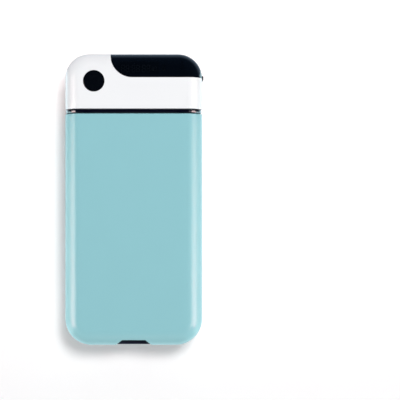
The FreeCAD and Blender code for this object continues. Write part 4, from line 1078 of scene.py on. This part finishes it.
class LOCKCASE_OT_stage(bpy.types.Operator):
    """Lays the pale table top and sets the studio lights and the camera."""
    bl_idname = "lock_case.stage"
    bl_label = "Set Stage"

    def execute(self, context):
        size = sizes()
        select_only()
        bpy.ops.mesh.primitive_plane_add(size=size.floor_size, location=(0, 0, 0))
        floor = settle()
        floor.name = "table_top"
        # matt and near white: it takes the case's soft shadow and shows no mirror image
        material, tree, principled = new_material("matt_table_top", IOR=1.45,
                                                  Specular_IOR_Level=0.1)
        coords = mottle(tree, principled, "fbfbfb", 0.004, 30.0)
        vary_roughness(tree, principled, coords, 0.85, 0.95, 20.0)
        # the glow below is painted light: it lifts the case's shadow, less before the foot, warms
        # it near the case and whitens the far floor
        distance = add_node(tree, "ShaderNodeVectorMath", {"operation": "LENGTH"}, links=coords)
        place = add_node(tree, "ShaderNodeSeparateXYZ", links=coords)
        nearby = add_node(tree, "ShaderNodeMapRange",
                          inputs={"From Min": FLOOR_FOOT_FADE[0], "From Max": FLOOR_FOOT_FADE[1],
                                  "To Min": FLOOR_GLOW_FOOT, "To Max": FLOOR_GLOW},
                          links={"Value": place.outputs["Y"]})
        reach = {"From Min": FLOOR_NEAR, "From Max": FLOOR_FAR}
        glow = add_node(tree, "ShaderNodeMapRange", inputs={**reach, "To Max": 1.0},
                        links={"Value": distance.outputs["Value"],
                               "To Min": nearby.outputs["Result"]})
        tree.links.new(glow.outputs["Result"], principled.inputs["Emission Strength"])
        spread = add_node(tree, "ShaderNodeMapRange", inputs=reach,
                          links={"Value": distance.outputs["Value"]})
        # painted warm tint in the case's shadow, fading out where the glow reaches full white
        warmth = add_node(tree, "ShaderNodeValToRGB", links={"Fac": spread.outputs["Result"]})
        warmth.color_ramp.elements[0].color = linear(FLOOR_WARM)
        warmth.color_ramp.elements[1].color = (1, 1, 1, 1)
        tree.links.new(warmth.outputs["Color"], principled.inputs["Emission Color"])
        floor.data.materials.append(material)
        floor.visible_glossy = False

        context.scene.world = studio_world()
        for name, place, side, power in LAMPS:
            diffuse_lamp(name, place, side, power)
        for place, width, height, radiance, hex_colour in PANELS:
            turn = turn_to(place, (0, 0, THICKNESS)).to_euler()
            stage_sheet("gloss_panel", place, turn, width, height, hex_colour, radiance)
        for side in (-1, 1):
            place = (side * FLAG_PLACE, FLAG_MIDDLE, THICKNESS + FLAG_GAP + FLAG_HEIGHT / 2)
            stage_sheet("black_flag", place, (0, math.pi / 2, 0), FLAG_HEIGHT, FLAG_LENGTH,
                        "000000", 0.0)

        camera_data = bpy.data.cameras.new("camera")
        camera = bpy.data.objects.new("camera", camera_data)
        context.scene.collection.objects.link(camera)
        context.scene.camera = camera
        widest = THICKNESS - size.case_edge
        distance = size.camera_height - widest
        camera_data.sensor_width = SENSOR_WIDTH
        camera_data.lens = camera_data.sensor_width * distance / size.view_width
        camera_data.clip_start = 0.01
        camera_data.clip_end = 20.0
        camera_data.shift_x = (FRAME_SIDE / 2 - MIDDLE_ACROSS) / FRAME_SIDE
        camera_data.shift_y = (MIDDLE_DOWN - FRAME_SIDE / 2) / FRAME_SIDE
        camera.location = (0, 0, size.camera_height)
        camera.rotation_euler = (0, 0, 0)

        context.scene.view_settings.view_transform = "Standard"
        return {"FINISHED"}


class LOCKCASE_PT_sidebar(bpy.types.Panel):
    """Lists the steps of the lock container in the sidebar."""
    bl_label = "Lock Container"
    bl_idname = "LOCKCASE_PT_sidebar"
    bl_space_type = "VIEW_3D"
    bl_region_type = "UI"
    bl_category = "Lock Container"

    def draw(self, context):
        column = self.layout.column(align=True)
        for step in STEPS:
            column.operator(step.bl_idname)
        for group in (sizes(), colours()):
            for key in group.bl_rna.properties.keys():
                if key not in {"rna_type", "name"}:
                    self.layout.prop(group, key)


STEPS = (
    LOCKCASE_OT_finishes, LOCKCASE_OT_screw_threads, LOCKCASE_OT_socket_contacts,
    LOCKCASE_OT_socket_legs, LOCKCASE_OT_link_solder, LOCKCASE_OT_capacitor_ends,
    LOCKCASE_OT_inductor_clips, LOCKCASE_OT_battery_wrap, LOCKCASE_OT_motor_end,
    LOCKCASE_OT_button_switch, LOCKCASE_OT_small_switches, LOCKCASE_OT_buzzer_rim,
    LOCKCASE_OT_display_ribbon, LOCKCASE_OT_stage,
)
CLASSES = (LockCaseSizes, LockCaseColours, *STEPS, LOCKCASE_PT_sidebar)


def register():
    for entry in CLASSES:
        bpy.utils.register_class(entry)
    bpy.types.Scene.lock_case_sizes = bpy.props.PointerProperty(type=LockCaseSizes)
    bpy.types.Scene.lock_case_colours = bpy.props.PointerProperty(type=LockCaseColours)


def unregister():
    del bpy.types.Scene.lock_case_colours
    del bpy.types.Scene.lock_case_sizes
    for entry in reversed(CLASSES):
        bpy.utils.unregister_class(entry)


def main():
    register()
    for step in STEPS:
        group, name = step.bl_idname.split(".")
        getattr(getattr(bpy.ops, group), name)()


if __name__ == "__main__":
    main()
